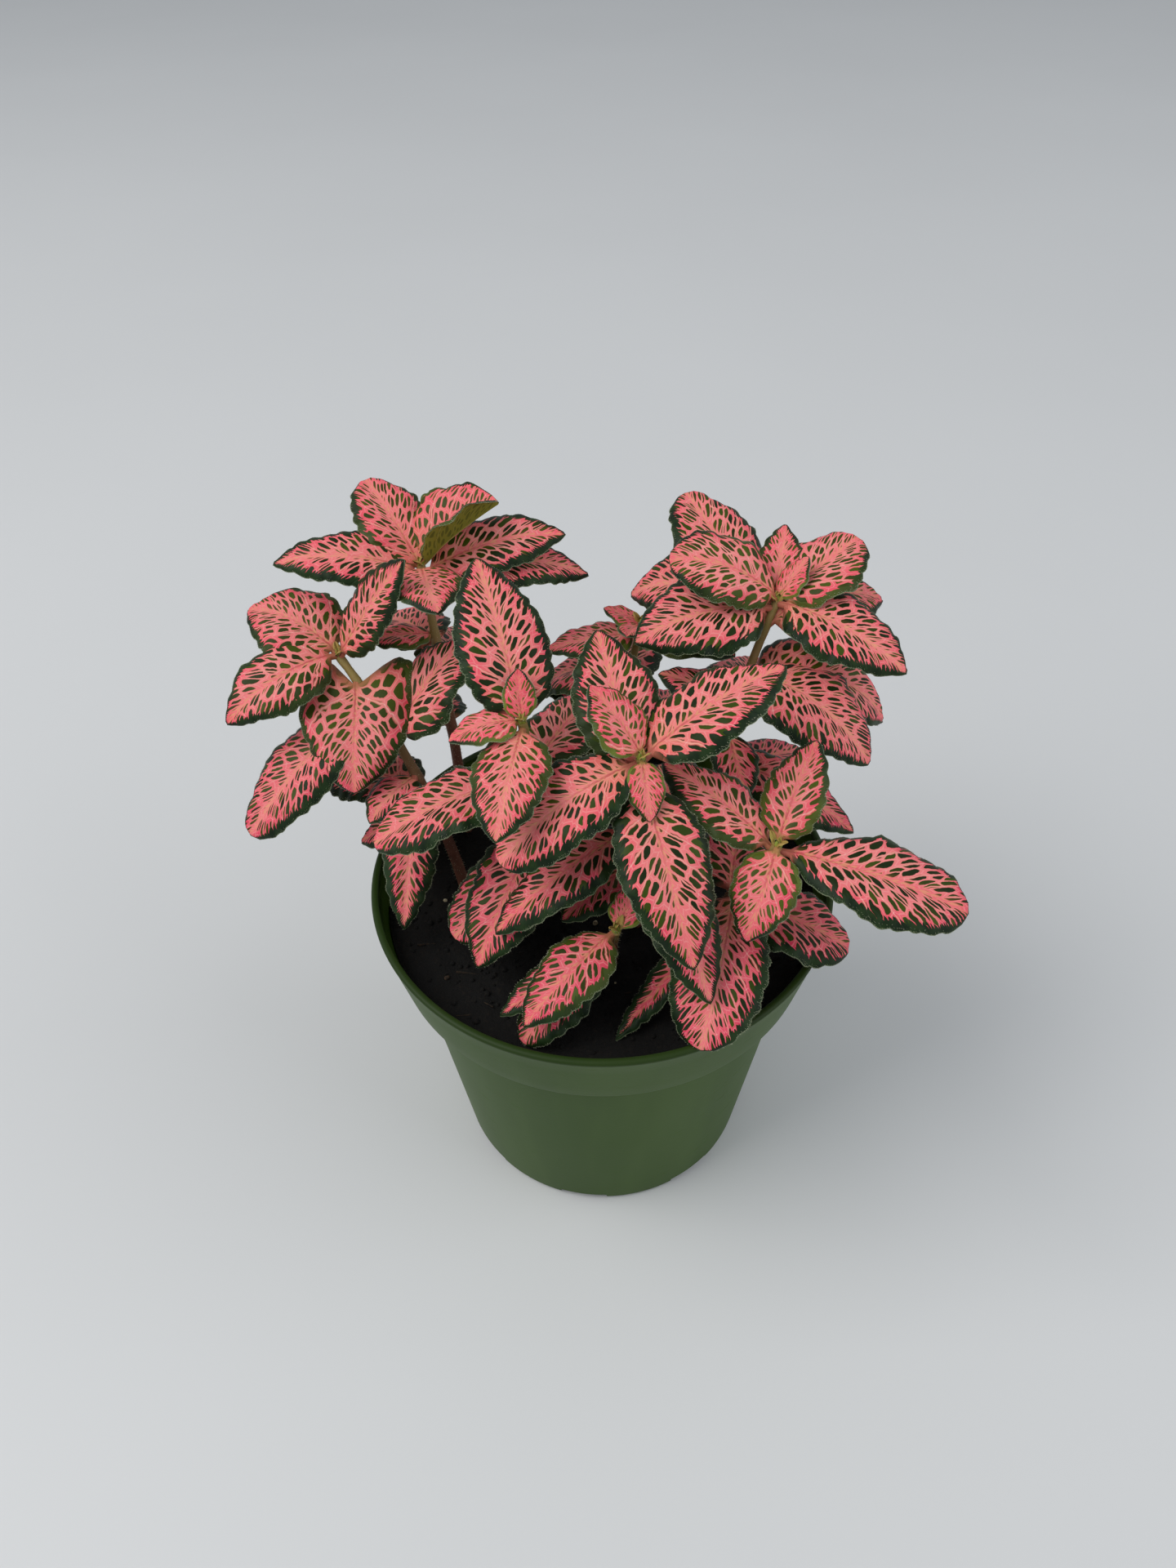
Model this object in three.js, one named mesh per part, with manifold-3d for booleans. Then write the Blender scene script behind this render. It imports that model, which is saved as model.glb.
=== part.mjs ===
// A pink nerve plant (Fittonia) in a round nursery pot.
//
// Millimetres, +Z up. The origin is the centre of the pot's flat floor, on the surface
// that the pot stands on. The plant leans out on all sides, so the box is not centred.
//
// The pieces are the pot, the potting soil and eight leafy stems. Every stem stands in a
// plain hole in the soil and carries its leaves in opposite pairs, which are joined to it.

import * as THREE from 'three';
import { mergeVertices } from 'three/addons/utils/BufferGeometryUtils.js';
import Module from 'manifold-3d';

const wasm = await Module();
wasm.setup();

// ---------------------------------------------------------------- driving dimensions

// Pot: a thin tapered wall with a wider band at the rim and drain slots at the base edge.
const POT_HEIGHT = 85;
const RIM_RADIUS = 54;
const BAND_HEIGHT = 18;
const BAND_BOTTOM_RADIUS = 50;
const BODY_TOP_RADIUS = 46.5;
const BASE_RADIUS = 37.5;
const BASE_ROUNDING = 1.5;
const WALL = 1.4;
const LIP_WIDTH = 2;
const LIP_DEPTH = 1.6;
const EDGE_BREAK = 0.6;
const DRAIN_SLOTS = 8;
const DRAIN_SLOT = { width: 12, height: 2.2, depth: 5, firstAngle: -98 };
const POT_SIDES = 36;

// Soil: it fills the pot to a little under the band's middle, with a lumpy top.
const SOIL_TOP = 77;
const SOIL_LUMP = 0.7;
const SOIL_RINGS = [0.2, 0.45, 0.7, 0.9];
const SEAT_GAP = 0.3;

// Stems: round, tapering to the growing tip, with a rooted length straight down in the soil.
// The bend is where a stem turns towards its tip, as shares of its run and its climb.
const STEM_RADIUS = 1.6;
const STEM_TIP_RADIUS = 1.0;
const STEM_SIDES = 6;
const STEM_STEPS = 5;
const STEM_BEND = { across: 0.2, up: 0.6 };
const ROOT_DEPTH = 18;
const HOLE_FLARE = 0.8;

// Leaves: an oval blade on a short stalk, hollowed along the midrib, with a waved edge.
const STALK_SHARE = 0.14;
const STALK_HALF_WIDTH = 0.8;
const TIP_HALF_WIDTH = 0.35;
const BLADE_HALF_THICKNESS = 0.35;
const STALK_HALF_THICKNESS = 0.6;
const EDGE_DROOP = 0.35;
const EDGE_WAVE = 0.07;
const WAVES_PER_EDGE = 2.5;
const ACROSS = [-1, -0.55, 0, 0.55, 1];
const ACROSS_SMALL = [-1, 0, 1];
const ALONG = [0, STALK_SHARE, 0.28, 0.46, 0.65, 0.84, 1];
const ALONG_SMALL = [0, STALK_SHARE, 0.32, 0.55, 0.8, 1];
const SMALL_LEAF = 22;

// A blade's shape is its fullness at the base and at the tip, where small is blunt and large
// is drawn out, and how steeply its two halves rise from the midrib.
const OVAL = [0.8, 1.0, 0.25];
const BLUNT = [0.75, 0.7, 0.25];
const HEART = [0.55, 0.9, 0.25];
const FOLDED = [0.62, 0.8, 1.1];
const PADDLE = [0.9, 0.75, 0.25];

// Each stem runs from its foot [x, y] on the soil to its growing tip [x, y, z].
// A leaf is [place along the stem from 0 to 1, heading, rise, length, width, bend, roll], and
// its blade's shape where that is not an oval:
// the heading is the compass direction it points in, counted from +X towards +Y, the rise
// is how steeply its chord climbs, the bend is how far its midrib curls over from base to
// tip, and the roll lifts the side on its right. All angles are in degrees.
const LEAFY_STEMS = {
  leafy_stem_back_left: {
    foot: [-34, 22],
    tip: [-41, 42, 142],
    leaves: [
      [0.97, 128, 32, 27, 17, 30, 0, BLUNT],
      [1.00, 20, 32, 23, 21, 10, 10, FOLDED],
      [0.98, -75, 10, 26, 17, 40, 0],
      [0.97, -105, 25, 11, 7, 20, 0],
      [0.96, 10, 12, 35, 17, 45, -22],
      [0.96, -176, 8, 35, 15, 55, 22],
      [0.93, 9, -3, 40, 16, 60, -15],
      [0.74, -170, 2, 16, 10, 30, 0],
      [0.70, 130, -18, 34, 20, 45, 0],
      [0.58, 85, -14, 34, 20, 40, 0],
      [0.40, 125, -24, 33, 19, 40, 0],
    ],
  },
  leafy_stem_left: {
    foot: [-33, 2],
    tip: [-60, 28, 127],
    leaves: [
      [0.99, -7, 56, 33, 14, 10, -45],
      [1.00, -148, -16, 31, 18, 65, 20],
      [1.00, 152, 10, 27, 21, 60, 16],
      [0.90, -89, -36, 27, 26, 40, 0, HEART],
      [0.83, -141, -33, 42, 19, 30, 6, BLUNT],
      [0.66, 35, 42, 29, 21, 30, 0],
      [0.50, -125, -6, 17, 12, 40, 0],
      [0.44, 148, -14, 34, 20, 40, 0],
      [0.52, -93, -36, 37, 13, 40, 0],
      [0.36, -170, -24, 20, 14, 40, 0],
      [0.30, 35, -8, 26, 16, 40, 0],
    ],
  },
  leafy_stem_middle_left: {
    foot: [-12, -4],
    tip: [-16, -6, 135],
    leaves: [
      [1.00, 97, 55, 11, 7, 10, 0],
      [0.99, -168, -8, 16, 11, 55, 0],
      [0.96, 110, 38, 38, 19.5, 25, 0],
      [0.97, -101, -20, 27, 16, 40, 0],
      [0.72, 60, 0, 30, 17, 40, 0],
      [0.66, -163, -14, 38, 19, 50, 0, BLUNT],
      [0.42, -118, -31, 35, 19, 40, 0],
      [0.50, 112, -8, 32, 18, 40, 0],
      [0.30, -139, -23, 29, 18, 30, 0, BLUNT],
    ],
  },
  leafy_stem_middle: {
    foot: [8, -10],
    tip: [8, -14, 132],
    leaves: [
      [1.00, 139, 40, 18, 13, 20, 0],
      [1.00, -80, -42, 13, 8, 30, 0],
      [0.97, 30, 17, 37, 20, 35, 0],
      [0.97, -157, -28, 36, 19, 40, 14, BLUNT],
      [0.89, 110, 36, 32, 19, 20, 0],
      [0.62, 150, 5, 26, 16, 30, 0],
      [0.88, -72, -36, 41, 19.5, 35, 0],
      [0.55, -152, -24, 39, 16, 45, 0],
      [0.66, -67, -33, 43, 17, 30, 0],
      [0.46, 66, -4, 33, 18, 40, 0],
      [0.34, -141, -10, 22, 13, 30, 0],
      [0.30, -100, -20, 13, 9, 20, 0],
    ],
  },
  leafy_stem_front_right: {
    foot: [24, -18],
    tip: [36, -22, 115],
    leaves: [
      [1.00, 63, 34, 24, 13, 25, 0],
      [1.00, -115, -38, 21, 14, 40, 0],
      [0.95, -18, -8, 41, 22, 22, -4, PADDLE],
      [0.95, 143, 18, 30, 16, 40, 0],
      [0.46, -14, -20, 29, 20, 40, 0, BLUNT],
      [0.55, -106, -25, 36, 20, 30, 0, BLUNT],
      [0.46, 82, -4, 28, 17, 40, 0],
      [0.22, -133, -16, 35, 8, 30, 0],
    ],
  },
  leafy_stem_back_right: {
    foot: [24, 12],
    tip: [40, 34, 137],
    leaves: [
      [1.00, 31, 48, 12, 8, 10, 0],
      [0.94, 77, 30, 24, 12, 25, 0],
      [1.00, 177, 22, 28, 19, 60, 22, BLUNT],
      [0.99, 32, 22, 25, 20, 20, 0, BLUNT],
      [0.93, 122, 25, 38, 21, 20, 0, BLUNT],
      [0.99, -29, -15, 34, 20, 45, -12],
      [0.97, -165, -6, 34, 22, 50, 22],
      [0.90, 20, 0, 32, 21, 70, -15],
      [0.70, 0, -21, 40, 24, 95, -15],
      [0.72, -37, -18, 37, 25, 80, 0],
      [0.60, 163, 16, 20, 14, 40, 0],
      [0.50, -80, -15, 18, 11, 20, 0],
      [0.40, -26, -17, 36, 18, 40, 0],
      [0.55, 75, -10, 34, 20, 40, 0],
      [0.32, 35, -14, 33, 18, 40, 0],
      [0.91, 153, -4, 38, 21, 90, 30],
    ],
  },
  leafy_stem_front: {
    foot: [2, -22],
    tip: [3, -29, 97],
    leaves: [
      [0.95, -138, -21, 28, 15, 30, 0],
      [1.00, 55, 30, 12, 8, 20, 0],
      [0.80, -150, -20, 30, 11, 20, 0],
      [0.60, -136, -24, 30, 15, 35, 0, BLUNT],
    ],
  },
  leafy_stem_back: {
    foot: [2, 28],
    tip: [10, 44, 124],
    leaves: [
      [1.00, 167, 18, 10, 8, 20, 0],
      [0.99, -110, 20, 12, 8, 20, 0],
      [0.80, 168, -28, 29, 18, 40, 0],
      [0.94, -30, 6, 26, 16, 40, 0],
      [0.94, -168, -3, 23, 14, 30, 0],
      [0.66, 95, -10, 37, 21, 45, 0],
      [0.56, 132, -14, 34, 19, 40, 0],
      [0.40, 55, -12, 33, 18, 40, 0],
    ],
  },
};

// Colours as seen on the real plant.
const POT_GREEN = 0x4f6b3c;
const SOIL_BROWN = 0x17140f;
const LEAF_PINK = 0xe0667a;

// ---------------------------------------------------------------- helpers

const degrees = (angle) => THREE.MathUtils.degToRad(angle);

// Turns a closed geometry into a solid for joining and cutting.
function toSolid(geometry) {
  geometry.deleteAttribute('normal');
  geometry.deleteAttribute('uv');
  const merged = mergeVertices(geometry, 1e-4);
  return new wasm.Manifold(new wasm.Mesh({
    numProp: 3,
    vertProperties: new Float32Array(merged.attributes.position.array),
    triVerts: new Uint32Array(merged.index.array),
  }));
}

// Turns a solid back into a geometry for display.
function toGeometry(solid) {
  const mesh = solid.getMesh();
  const geometry = new THREE.BufferGeometry();
  geometry.setAttribute('position', new THREE.BufferAttribute(mesh.vertProperties, 3));
  geometry.setIndex(new THREE.BufferAttribute(mesh.triVerts, 1));
  geometry.computeVertexNormals();
  return geometry;
}

// A closed geometry from points and triangles that index them.
function indexed(points, triangles) {
  const geometry = new THREE.BufferGeometry();
  geometry.setFromPoints(points);
  geometry.setIndex(triangles.flat());
  return geometry;
}

// A closed sheet between two grids of points of the same size. Both faces are split into
// triangles along the same diagonals, so a waved sheet keeps its thickness.
function sheetSolid(upper, lower) {
  const rows = upper.length;
  const columns = upper[0].length;
  const below = rows * columns;
  const at = (row, column) => row * columns + column;
  const triangles = [];
  for (let row = 0; row < rows - 1; row += 1) {
    for (let column = 0; column < columns - 1; column += 1) {
      const [a, b] = [at(row, column), at(row, column + 1)];
      const [c, d] = [at(row + 1, column + 1), at(row + 1, column)];
      triangles.push([a, b, c], [a, c, d]);
      triangles.push([below + a, below + c, below + b], [below + a, below + d, below + c]);
    }
  }
  const edge = [];
  for (let column = 0; column < columns - 1; column += 1) edge.push(at(0, column));
  for (let row = 0; row < rows - 1; row += 1) edge.push(at(row, columns - 1));
  for (let column = columns - 1; column > 0; column -= 1) edge.push(at(rows - 1, column));
  for (let row = rows - 1; row > 0; row -= 1) edge.push(at(row, 0));
  edge.forEach((from, index) => {
    const to = edge[(index + 1) % edge.length];
    triangles.push([from, below + from, below + to], [from, below + to, to]);
  });
  return toSolid(indexed([...upper.flat(), ...lower.flat()], triangles));
}

// A closed round rod through the given points, with one radius for each of them.
function rodSolid(points, radii, sides) {
  const rings = points.map((point, index) => {
    const ahead = points[Math.min(index + 1, points.length - 1)];
    const behind = points[Math.max(index - 1, 0)];
    const along = ahead.clone().sub(behind).normalize();
    const right = new THREE.Vector3(0, 1, 0).cross(along).normalize();
    const forward = along.clone().cross(right);
    return Array.from({ length: sides }, (_, side) => {
      const angle = (2 * Math.PI * side) / sides;
      return point.clone()
        .addScaledVector(right, radii[index] * Math.cos(angle))
        .addScaledVector(forward, radii[index] * Math.sin(angle));
    });
  });
  const triangles = [];
  for (let ring = 0; ring < rings.length - 1; ring += 1) {
    for (let side = 0; side < sides; side += 1) {
      const next = (side + 1) % sides;
      const [a, b] = [ring * sides + side, ring * sides + next];
      const [c, d] = [b + sides, a + sides];
      triangles.push([a, b, c], [a, c, d]);
    }
  }
  const top = (rings.length - 1) * sides;
  for (let side = 1; side < sides - 1; side += 1) {
    triangles.push([0, side + 1, side], [top, top + side, top + side + 1]);
  }
  return toSolid(indexed(rings.flat(), triangles));
}

// ---------------------------------------------------------------- pot

// Radius of the pot's outer wall below the band.
function bodyRadius(height) {
  const share = height / (POT_HEIGHT - BAND_HEIGHT);
  return BASE_RADIUS + (BODY_TOP_RADIUS - BASE_RADIUS) * share;
}

// Radius of the pot's inner wall: it keeps the wall's thickness, and steps out at the band.
function innerRadius(height) {
  const bandBottom = POT_HEIGHT - BAND_HEIGHT;
  if (height < bandBottom + WALL) return bodyRadius(Math.min(height, bandBottom)) - WALL;
  const share = (height - bandBottom) / BAND_HEIGHT;
  return BAND_BOTTOM_RADIUS + (RIM_RADIUS - BAND_BOTTOM_RADIUS) * share - WALL;
}

function makePot() {
  const bandBottom = POT_HEIGHT - BAND_HEIGHT;
  const profile = [
    [0, 0],
    [BASE_RADIUS - BASE_ROUNDING, 0],
    [bodyRadius(BASE_ROUNDING), BASE_ROUNDING],
    [BODY_TOP_RADIUS, bandBottom],
    [BAND_BOTTOM_RADIUS - EDGE_BREAK, bandBottom],
    [BAND_BOTTOM_RADIUS, bandBottom + EDGE_BREAK],
    [RIM_RADIUS - 0.5 * EDGE_BREAK, POT_HEIGHT - EDGE_BREAK],
    [RIM_RADIUS - 1.5 * EDGE_BREAK, POT_HEIGHT],
    [RIM_RADIUS - LIP_WIDTH, POT_HEIGHT - 0.5 * EDGE_BREAK],
    [innerRadius(POT_HEIGHT - LIP_DEPTH), POT_HEIGHT - LIP_DEPTH],
    [innerRadius(bandBottom + WALL), bandBottom + WALL],
    [innerRadius(bandBottom), bandBottom],
    [innerRadius(WALL), WALL],
    [0, WALL],
  ].map(([radius, height]) => new THREE.Vector2(radius, height));
  const lathe = new THREE.LatheGeometry(profile, POT_SIDES);
  lathe.rotateX(Math.PI / 2);
  let pot = toSolid(lathe);
  for (let slot = 0; slot < DRAIN_SLOTS; slot += 1) {
    const angle = degrees(DRAIN_SLOT.firstAngle) + (2 * Math.PI * slot) / DRAIN_SLOTS;
    const cutter = new THREE.BoxGeometry(
      2 * DRAIN_SLOT.depth, DRAIN_SLOT.width, 2 * DRAIN_SLOT.height);
    cutter.translate(BASE_RADIUS, 0, 0);
    cutter.rotateZ(angle);
    pot = pot.subtract(toSolid(cutter));
  }
  return pot;
}

// ---------------------------------------------------------------- soil

// Height of the soil's lumpy top at a place in it.
function soilHeight(x, y) {
  const coarse = Math.sin(x * 0.31 + 1.3) * Math.cos(y * 0.27 - 0.4);
  const fine = Math.sin(x * 0.83 - y * 0.46) * Math.cos(y * 0.91 + x * 0.22);
  return SOIL_TOP + SOIL_LUMP * (0.6 * coarse + 0.6 * fine);
}

function makeSoil() {
  const rim = innerRadius(SOIL_TOP) - SEAT_GAP;
  const bandBottom = POT_HEIGHT - BAND_HEIGHT;
  const wall = [
    [rim, SOIL_TOP],
    [innerRadius(bandBottom + WALL) - SEAT_GAP, bandBottom + WALL + SEAT_GAP],
    [innerRadius(bandBottom) - SEAT_GAP, bandBottom + WALL + SEAT_GAP],
    [innerRadius(WALL) - SEAT_GAP, WALL + SEAT_GAP],
  ];
  const profile = [
    [0, SOIL_TOP],
    ...SOIL_RINGS.map((share) => [share * rim, SOIL_TOP]),
    ...wall,
    [0, WALL + SEAT_GAP],
  ].reverse().map(([radius, height]) => new THREE.Vector2(radius, height));
  const lathe = new THREE.LatheGeometry(profile, POT_SIDES);
  lathe.rotateX(Math.PI / 2);
  const position = lathe.attributes.position;
  for (let index = 0; index < position.count; index += 1) {
    const [x, y, z] = [position.getX(index), position.getY(index), position.getZ(index)];
    const onTop = z > SOIL_TOP - 0.01 && Math.hypot(x, y) < rim - 0.01;
    if (onTop) position.setZ(index, soilHeight(x, y));
  }
  let soil = toSolid(lathe);
  for (const { foot } of Object.values(LEAFY_STEMS)) {
    soil = soil.subtract(rootHole(foot));
  }
  return soil;
}

// The plain hole that a stem stands in: a little wider than the stem, flared at the top.
function rootHole([x, y]) {
  const bottom = SOIL_TOP - ROOT_DEPTH - SEAT_GAP;
  const heights = [bottom, SOIL_TOP - 3, SOIL_TOP + 3];
  const points = heights.map((height) => new THREE.Vector3(x, y, height));
  const radius = STEM_RADIUS + SEAT_GAP;
  return rodSolid(points, [radius, radius, radius + HOLE_FLARE], STEM_SIDES);
}

// ---------------------------------------------------------------- leafy stems

// A stem leaves the soil upright and leans over towards its tip.
function stemCurve({ foot, tip }) {
  const start = new THREE.Vector3(foot[0], foot[1], SOIL_TOP);
  const end = new THREE.Vector3(...tip);
  const rise = end.clone().sub(start);
  const bendPoint = start.clone().add(new THREE.Vector3(
    STEM_BEND.across * rise.x, STEM_BEND.across * rise.y, STEM_BEND.up * rise.z));
  return new THREE.QuadraticBezierCurve3(start, bendPoint, end);
}

function makeStemRod(stem) {
  const points = stemCurve(stem).getPoints(STEM_STEPS);
  points.unshift(new THREE.Vector3(stem.foot[0], stem.foot[1], SOIL_TOP - ROOT_DEPTH));
  const radii = points.map((_, index) => THREE.MathUtils.lerp(
    STEM_RADIUS, STEM_TIP_RADIUS, Math.max(0, index - 1) / STEM_STEPS));
  return rodSolid(points, radii, STEM_SIDES);
}

// Half the blade's width at a share of its length, or the stalk's before the blade starts.
function halfWidth(along, width, [baseFullness, tipFullness]) {
  const share = Math.max(0, (along - STALK_SHARE) / (1 - STALK_SHARE));
  const widest = baseFullness / (baseFullness + tipFullness);
  const oval = (share / widest) ** baseFullness
    * ((1 - share) / (1 - widest)) ** tipFullness;
  const least = THREE.MathUtils.lerp(STALK_HALF_WIDTH, TIP_HALF_WIDTH, share);
  return Math.max(least, 0.5 * width * oval);
}

function makeLeaf(stem, [place, heading, rise, length, width, bend, roll, shape = OVAL]) {
  const base = stemCurve(stem).getPoint(place);
  const ahead = new THREE.Vector3(Math.cos(degrees(heading)), Math.sin(degrees(heading)), 0);
  const up = new THREE.Vector3(0, 0, 1);
  const flatSide = ahead.clone().cross(up);
  const curl = degrees(bend);
  const startAngle = degrees(rise) + curl / 2;
  const upper = [];
  const lower = [];
  const isSmall = length <= SMALL_LEAF;
  const bladeRise = shape[2];
  for (const along of isSmall ? ALONG_SMALL : ALONG) {
    const angle = startAngle - curl * along;
    const midrib = base.clone()
      .addScaledVector(ahead, (length * (Math.sin(startAngle) - Math.sin(angle))) / curl)
      .addScaledVector(up, (length * (Math.cos(angle) - Math.cos(startAngle))) / curl);
    const tangent = ahead.clone().multiplyScalar(Math.cos(angle))
      .addScaledVector(up, Math.sin(angle));
    const side = flatSide.clone().applyAxisAngle(tangent, -degrees(roll));
    const normal = side.clone().cross(tangent);
    const half = halfWidth(along, width, shape);
    const thickness = along <= STALK_SHARE ? STALK_HALF_THICKNESS : BLADE_HALF_THICKNESS;
    const points = (isSmall ? ACROSS_SMALL : ACROSS).map((across) => {
      const away = Math.abs(across);
      const wave = EDGE_WAVE * away ** 3
        * Math.sin(2 * Math.PI * WAVES_PER_EDGE * along + Math.sign(across) + heading);
      const lift = half * (bladeRise * away - EDGE_DROOP * away ** 3 + wave);
      return midrib.clone().addScaledVector(side, half * across).addScaledVector(normal, lift);
    });
    upper.push(points.map((point) => point.clone().addScaledVector(normal, thickness)));
    lower.push(points.map((point) => point.clone().addScaledVector(normal, -thickness)));
  }
  return sheetSolid(upper, lower);
}

function makeLeafyStem(stem) {
  const leaves = stem.leaves.map((leaf) => makeLeaf(stem, leaf));
  return leaves.reduce((joined, leaf) => joined.add(leaf), makeStemRod(stem));
}

// ---------------------------------------------------------------- the part

function addPiece(group, name, solid, colour, roughness) {
  const material = new THREE.MeshStandardMaterial({ color: colour, roughness, metalness: 0 });
  const mesh = new THREE.Mesh(toGeometry(solid), material);
  mesh.name = name;
  group.add(mesh);
}

const pottedNervePlant = new THREE.Group();
pottedNervePlant.name = 'potted_nerve_plant';
addPiece(pottedNervePlant, 'pot', makePot(), POT_GREEN, 0.4);
addPiece(pottedNervePlant, 'potting_soil', makeSoil(), SOIL_BROWN, 0.95);
for (const [name, stem] of Object.entries(LEAFY_STEMS)) {
  addPiece(pottedNervePlant, name, makeLeafyStem(stem), LEAF_PINK, 0.6);
}

export default pottedNervePlant;
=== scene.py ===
# %% [markdown]
# # A pink nerve plant in a nursery pot
#
# The object is a small houseplant: eight leafy stems in dark potting soil, in a thin moulded
# plastic pot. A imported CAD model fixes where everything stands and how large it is. This
# notebook dresses that model. It never moves a CAD part: it builds finer pieces in the same
# places, in metres, and says which CAD part each of them stands for.

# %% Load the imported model
import math
import random

import bpy
from mathutils import Matrix, Vector


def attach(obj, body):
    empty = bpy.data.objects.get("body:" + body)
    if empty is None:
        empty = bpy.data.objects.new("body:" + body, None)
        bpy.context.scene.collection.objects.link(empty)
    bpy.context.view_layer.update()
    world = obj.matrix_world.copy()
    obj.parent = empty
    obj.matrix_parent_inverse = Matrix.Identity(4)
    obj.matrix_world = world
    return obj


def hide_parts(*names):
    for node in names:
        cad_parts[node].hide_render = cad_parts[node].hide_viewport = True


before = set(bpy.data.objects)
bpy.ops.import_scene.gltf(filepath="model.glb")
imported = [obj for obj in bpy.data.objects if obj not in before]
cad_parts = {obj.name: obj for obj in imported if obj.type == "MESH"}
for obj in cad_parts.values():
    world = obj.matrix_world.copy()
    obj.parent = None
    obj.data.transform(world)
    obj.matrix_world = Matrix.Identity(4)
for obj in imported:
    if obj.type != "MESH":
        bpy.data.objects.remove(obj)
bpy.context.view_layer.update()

MM = 0.001
print("CAD nodes:", sorted(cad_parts))

# %% [markdown]
# ## A short hand for node trees
#
# A leaf's shape and its colours both follow from sums. Blender writes a sum as a chain of
# Math nodes, in Geometry Nodes and in materials alike, and a hundred of them made one by one
# would be hard to read. A `Wire` is a value on its way through a tree, and Python's own
# + - * / on wires adds the Math nodes.

# %% Wires: sums that turn into Math nodes
def feed(socket, value):
    """Links a wire to a socket, or sets the socket's own value where it is a constant."""
    if isinstance(value, Wire):
        socket.id_data.links.new(value.socket, socket)
    else:
        socket.default_value = value


def add_node(tree, kind, inputs=None, **settings):
    """Adds a node, sets its menus, and feeds its sockets by name or by number."""
    node = tree.nodes.new(kind)
    for name, value in settings.items():
        setattr(node, name, value)
    for name, value in (inputs or {}).items():
        feed(node.inputs[name], value)
    return node


def math_node(tree, operation, *values):
    """One step of a sum, on wires or numbers."""
    node = add_node(tree, "ShaderNodeMath", dict(enumerate(values)), operation=operation)
    return Wire(node.outputs[0])


class Wire:
    """A value on its way through a node tree."""

    def __init__(self, socket):
        self.socket = socket
        self.tree = socket.id_data

    def math(self, operation, *others):
        return math_node(self.tree, operation, self, *others)

    def __add__(self, other):
        return self.math("ADD", other)

    def __sub__(self, other):
        return self.math("SUBTRACT", other)

    def __mul__(self, other):
        return self.math("MULTIPLY", other)

    def __truediv__(self, other):
        return self.math("DIVIDE", other)

    def __pow__(self, other):
        return self.math("POWER", other)

    def __rsub__(self, other):
        return math_node(self.tree, "SUBTRACT", other, self)

    def __rtruediv__(self, other):
        return math_node(self.tree, "DIVIDE", other, self)

    def __neg__(self):
        return self * -1.0

    def __abs__(self):
        return self.math("ABSOLUTE")

    __radd__ = __add__
    __rmul__ = __mul__

    def sin(self):
        return self.math("SINE")

    def cos(self):
        return self.math("COSINE")

    def sign(self):
        return self.math("SIGN")

    def highest(self, other):
        return self.math("MAXIMUM", other)

    def lowest(self, other):
        return self.math("MINIMUM", other)

    def above(self, other):
        return self.math("GREATER_THAN", other)

    def below(self, other):
        return self.math("LESS_THAN", other)

    def ramp(self, low, high, kind="SMOOTHSTEP"):
        """0 at low, 1 at high, with a soft start and end."""
        node = add_node(
            self.tree,
            "ShaderNodeMapRange",
            {"Value": self, "From Min": low, "From Max": high},
            interpolation_type=kind,
        )
        return Wire(node.outputs["Result"])

    def between(self, start, end):
        """start where the wire is 0, end where it is 1."""
        return self * (end - start) + start


def vector(x, y, z):
    """Three wires or numbers, at least one of them a wire, as one vector."""
    tree = next(part.tree for part in (x, y, z) if isinstance(part, Wire))
    node = add_node(tree, "ShaderNodeCombineXYZ", {"X": x, "Y": y, "Z": z})
    return Wire(node.outputs[0])


def parts(wire):
    """A vector's x, y and z."""
    node = add_node(wire.tree, "ShaderNodeSeparateXYZ", {0: wire})
    return [Wire(socket) for socket in node.outputs]


def noise(place, scale, detail=2.0, roughness=0.5):
    """Cloudy noise from 0 to 1, mostly near a half."""
    node = add_node(
        place.tree,
        "ShaderNodeTexNoise",
        {"Vector": place, "Scale": scale, "Detail": detail, "Roughness": roughness},
    )
    return Wire(node.outputs[0])


# %% [markdown]
# ## The camera, the floor and the light
#
# The camera looks steeply down on the plant from arm's length, with a wide lens. Its place
# and its turns are fixed numbers, and a matrix of its own right, up and back directions is
# clearer than three stacked angles. The floor is plain and pale, and the light is that of a
# bright room: one broad soft source high on the left, a weaker one on the right, and a pale
# sky all round.

# %% Camera
CAMERA_PLACE = Vector((0.0, -0.1904, 0.2877))
LOOKS_DOWN = math.radians(42.65)
TURNS_LEFT = math.radians(0.87)
TILTS = math.radians(-0.94)
LENS_MM = 27.06


def make_camera():
    heading = Vector((-math.sin(TURNS_LEFT), math.cos(TURNS_LEFT), 0))
    forward = heading * math.cos(LOOKS_DOWN) - Vector((0, 0, math.sin(LOOKS_DOWN)))
    level_right = forward.cross(Vector((0, 0, 1))).normalized()
    level_up = level_right.cross(forward)
    right = level_right * math.cos(TILTS) + level_up * math.sin(TILTS)
    up = level_up * math.cos(TILTS) - level_right * math.sin(TILTS)
    turn = Matrix((right, up, -forward)).transposed()
    camera = bpy.data.objects.new("camera", bpy.data.cameras.new("camera"))
    camera.data.lens = LENS_MM
    camera.data.clip_start = 0.01
    camera.matrix_world = Matrix.Translation(CAMERA_PLACE) @ turn.to_4x4()
    bpy.context.collection.objects.link(camera)
    bpy.context.scene.camera = camera


make_camera()
print("camera", tuple(round(part, 3) for part in CAMERA_PLACE))


# %% Colours and plain materials
def paint(red, green, blue):
    """A colour from 0 to 255, as a paint chart gives it, in the linear light of shaders."""

    def linear(value):
        value /= 255
        return value / 12.92 if value <= 0.04045 else ((value + 0.055) / 1.055) ** 2.4

    return (linear(red), linear(green), linear(blue), 1.0)


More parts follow.
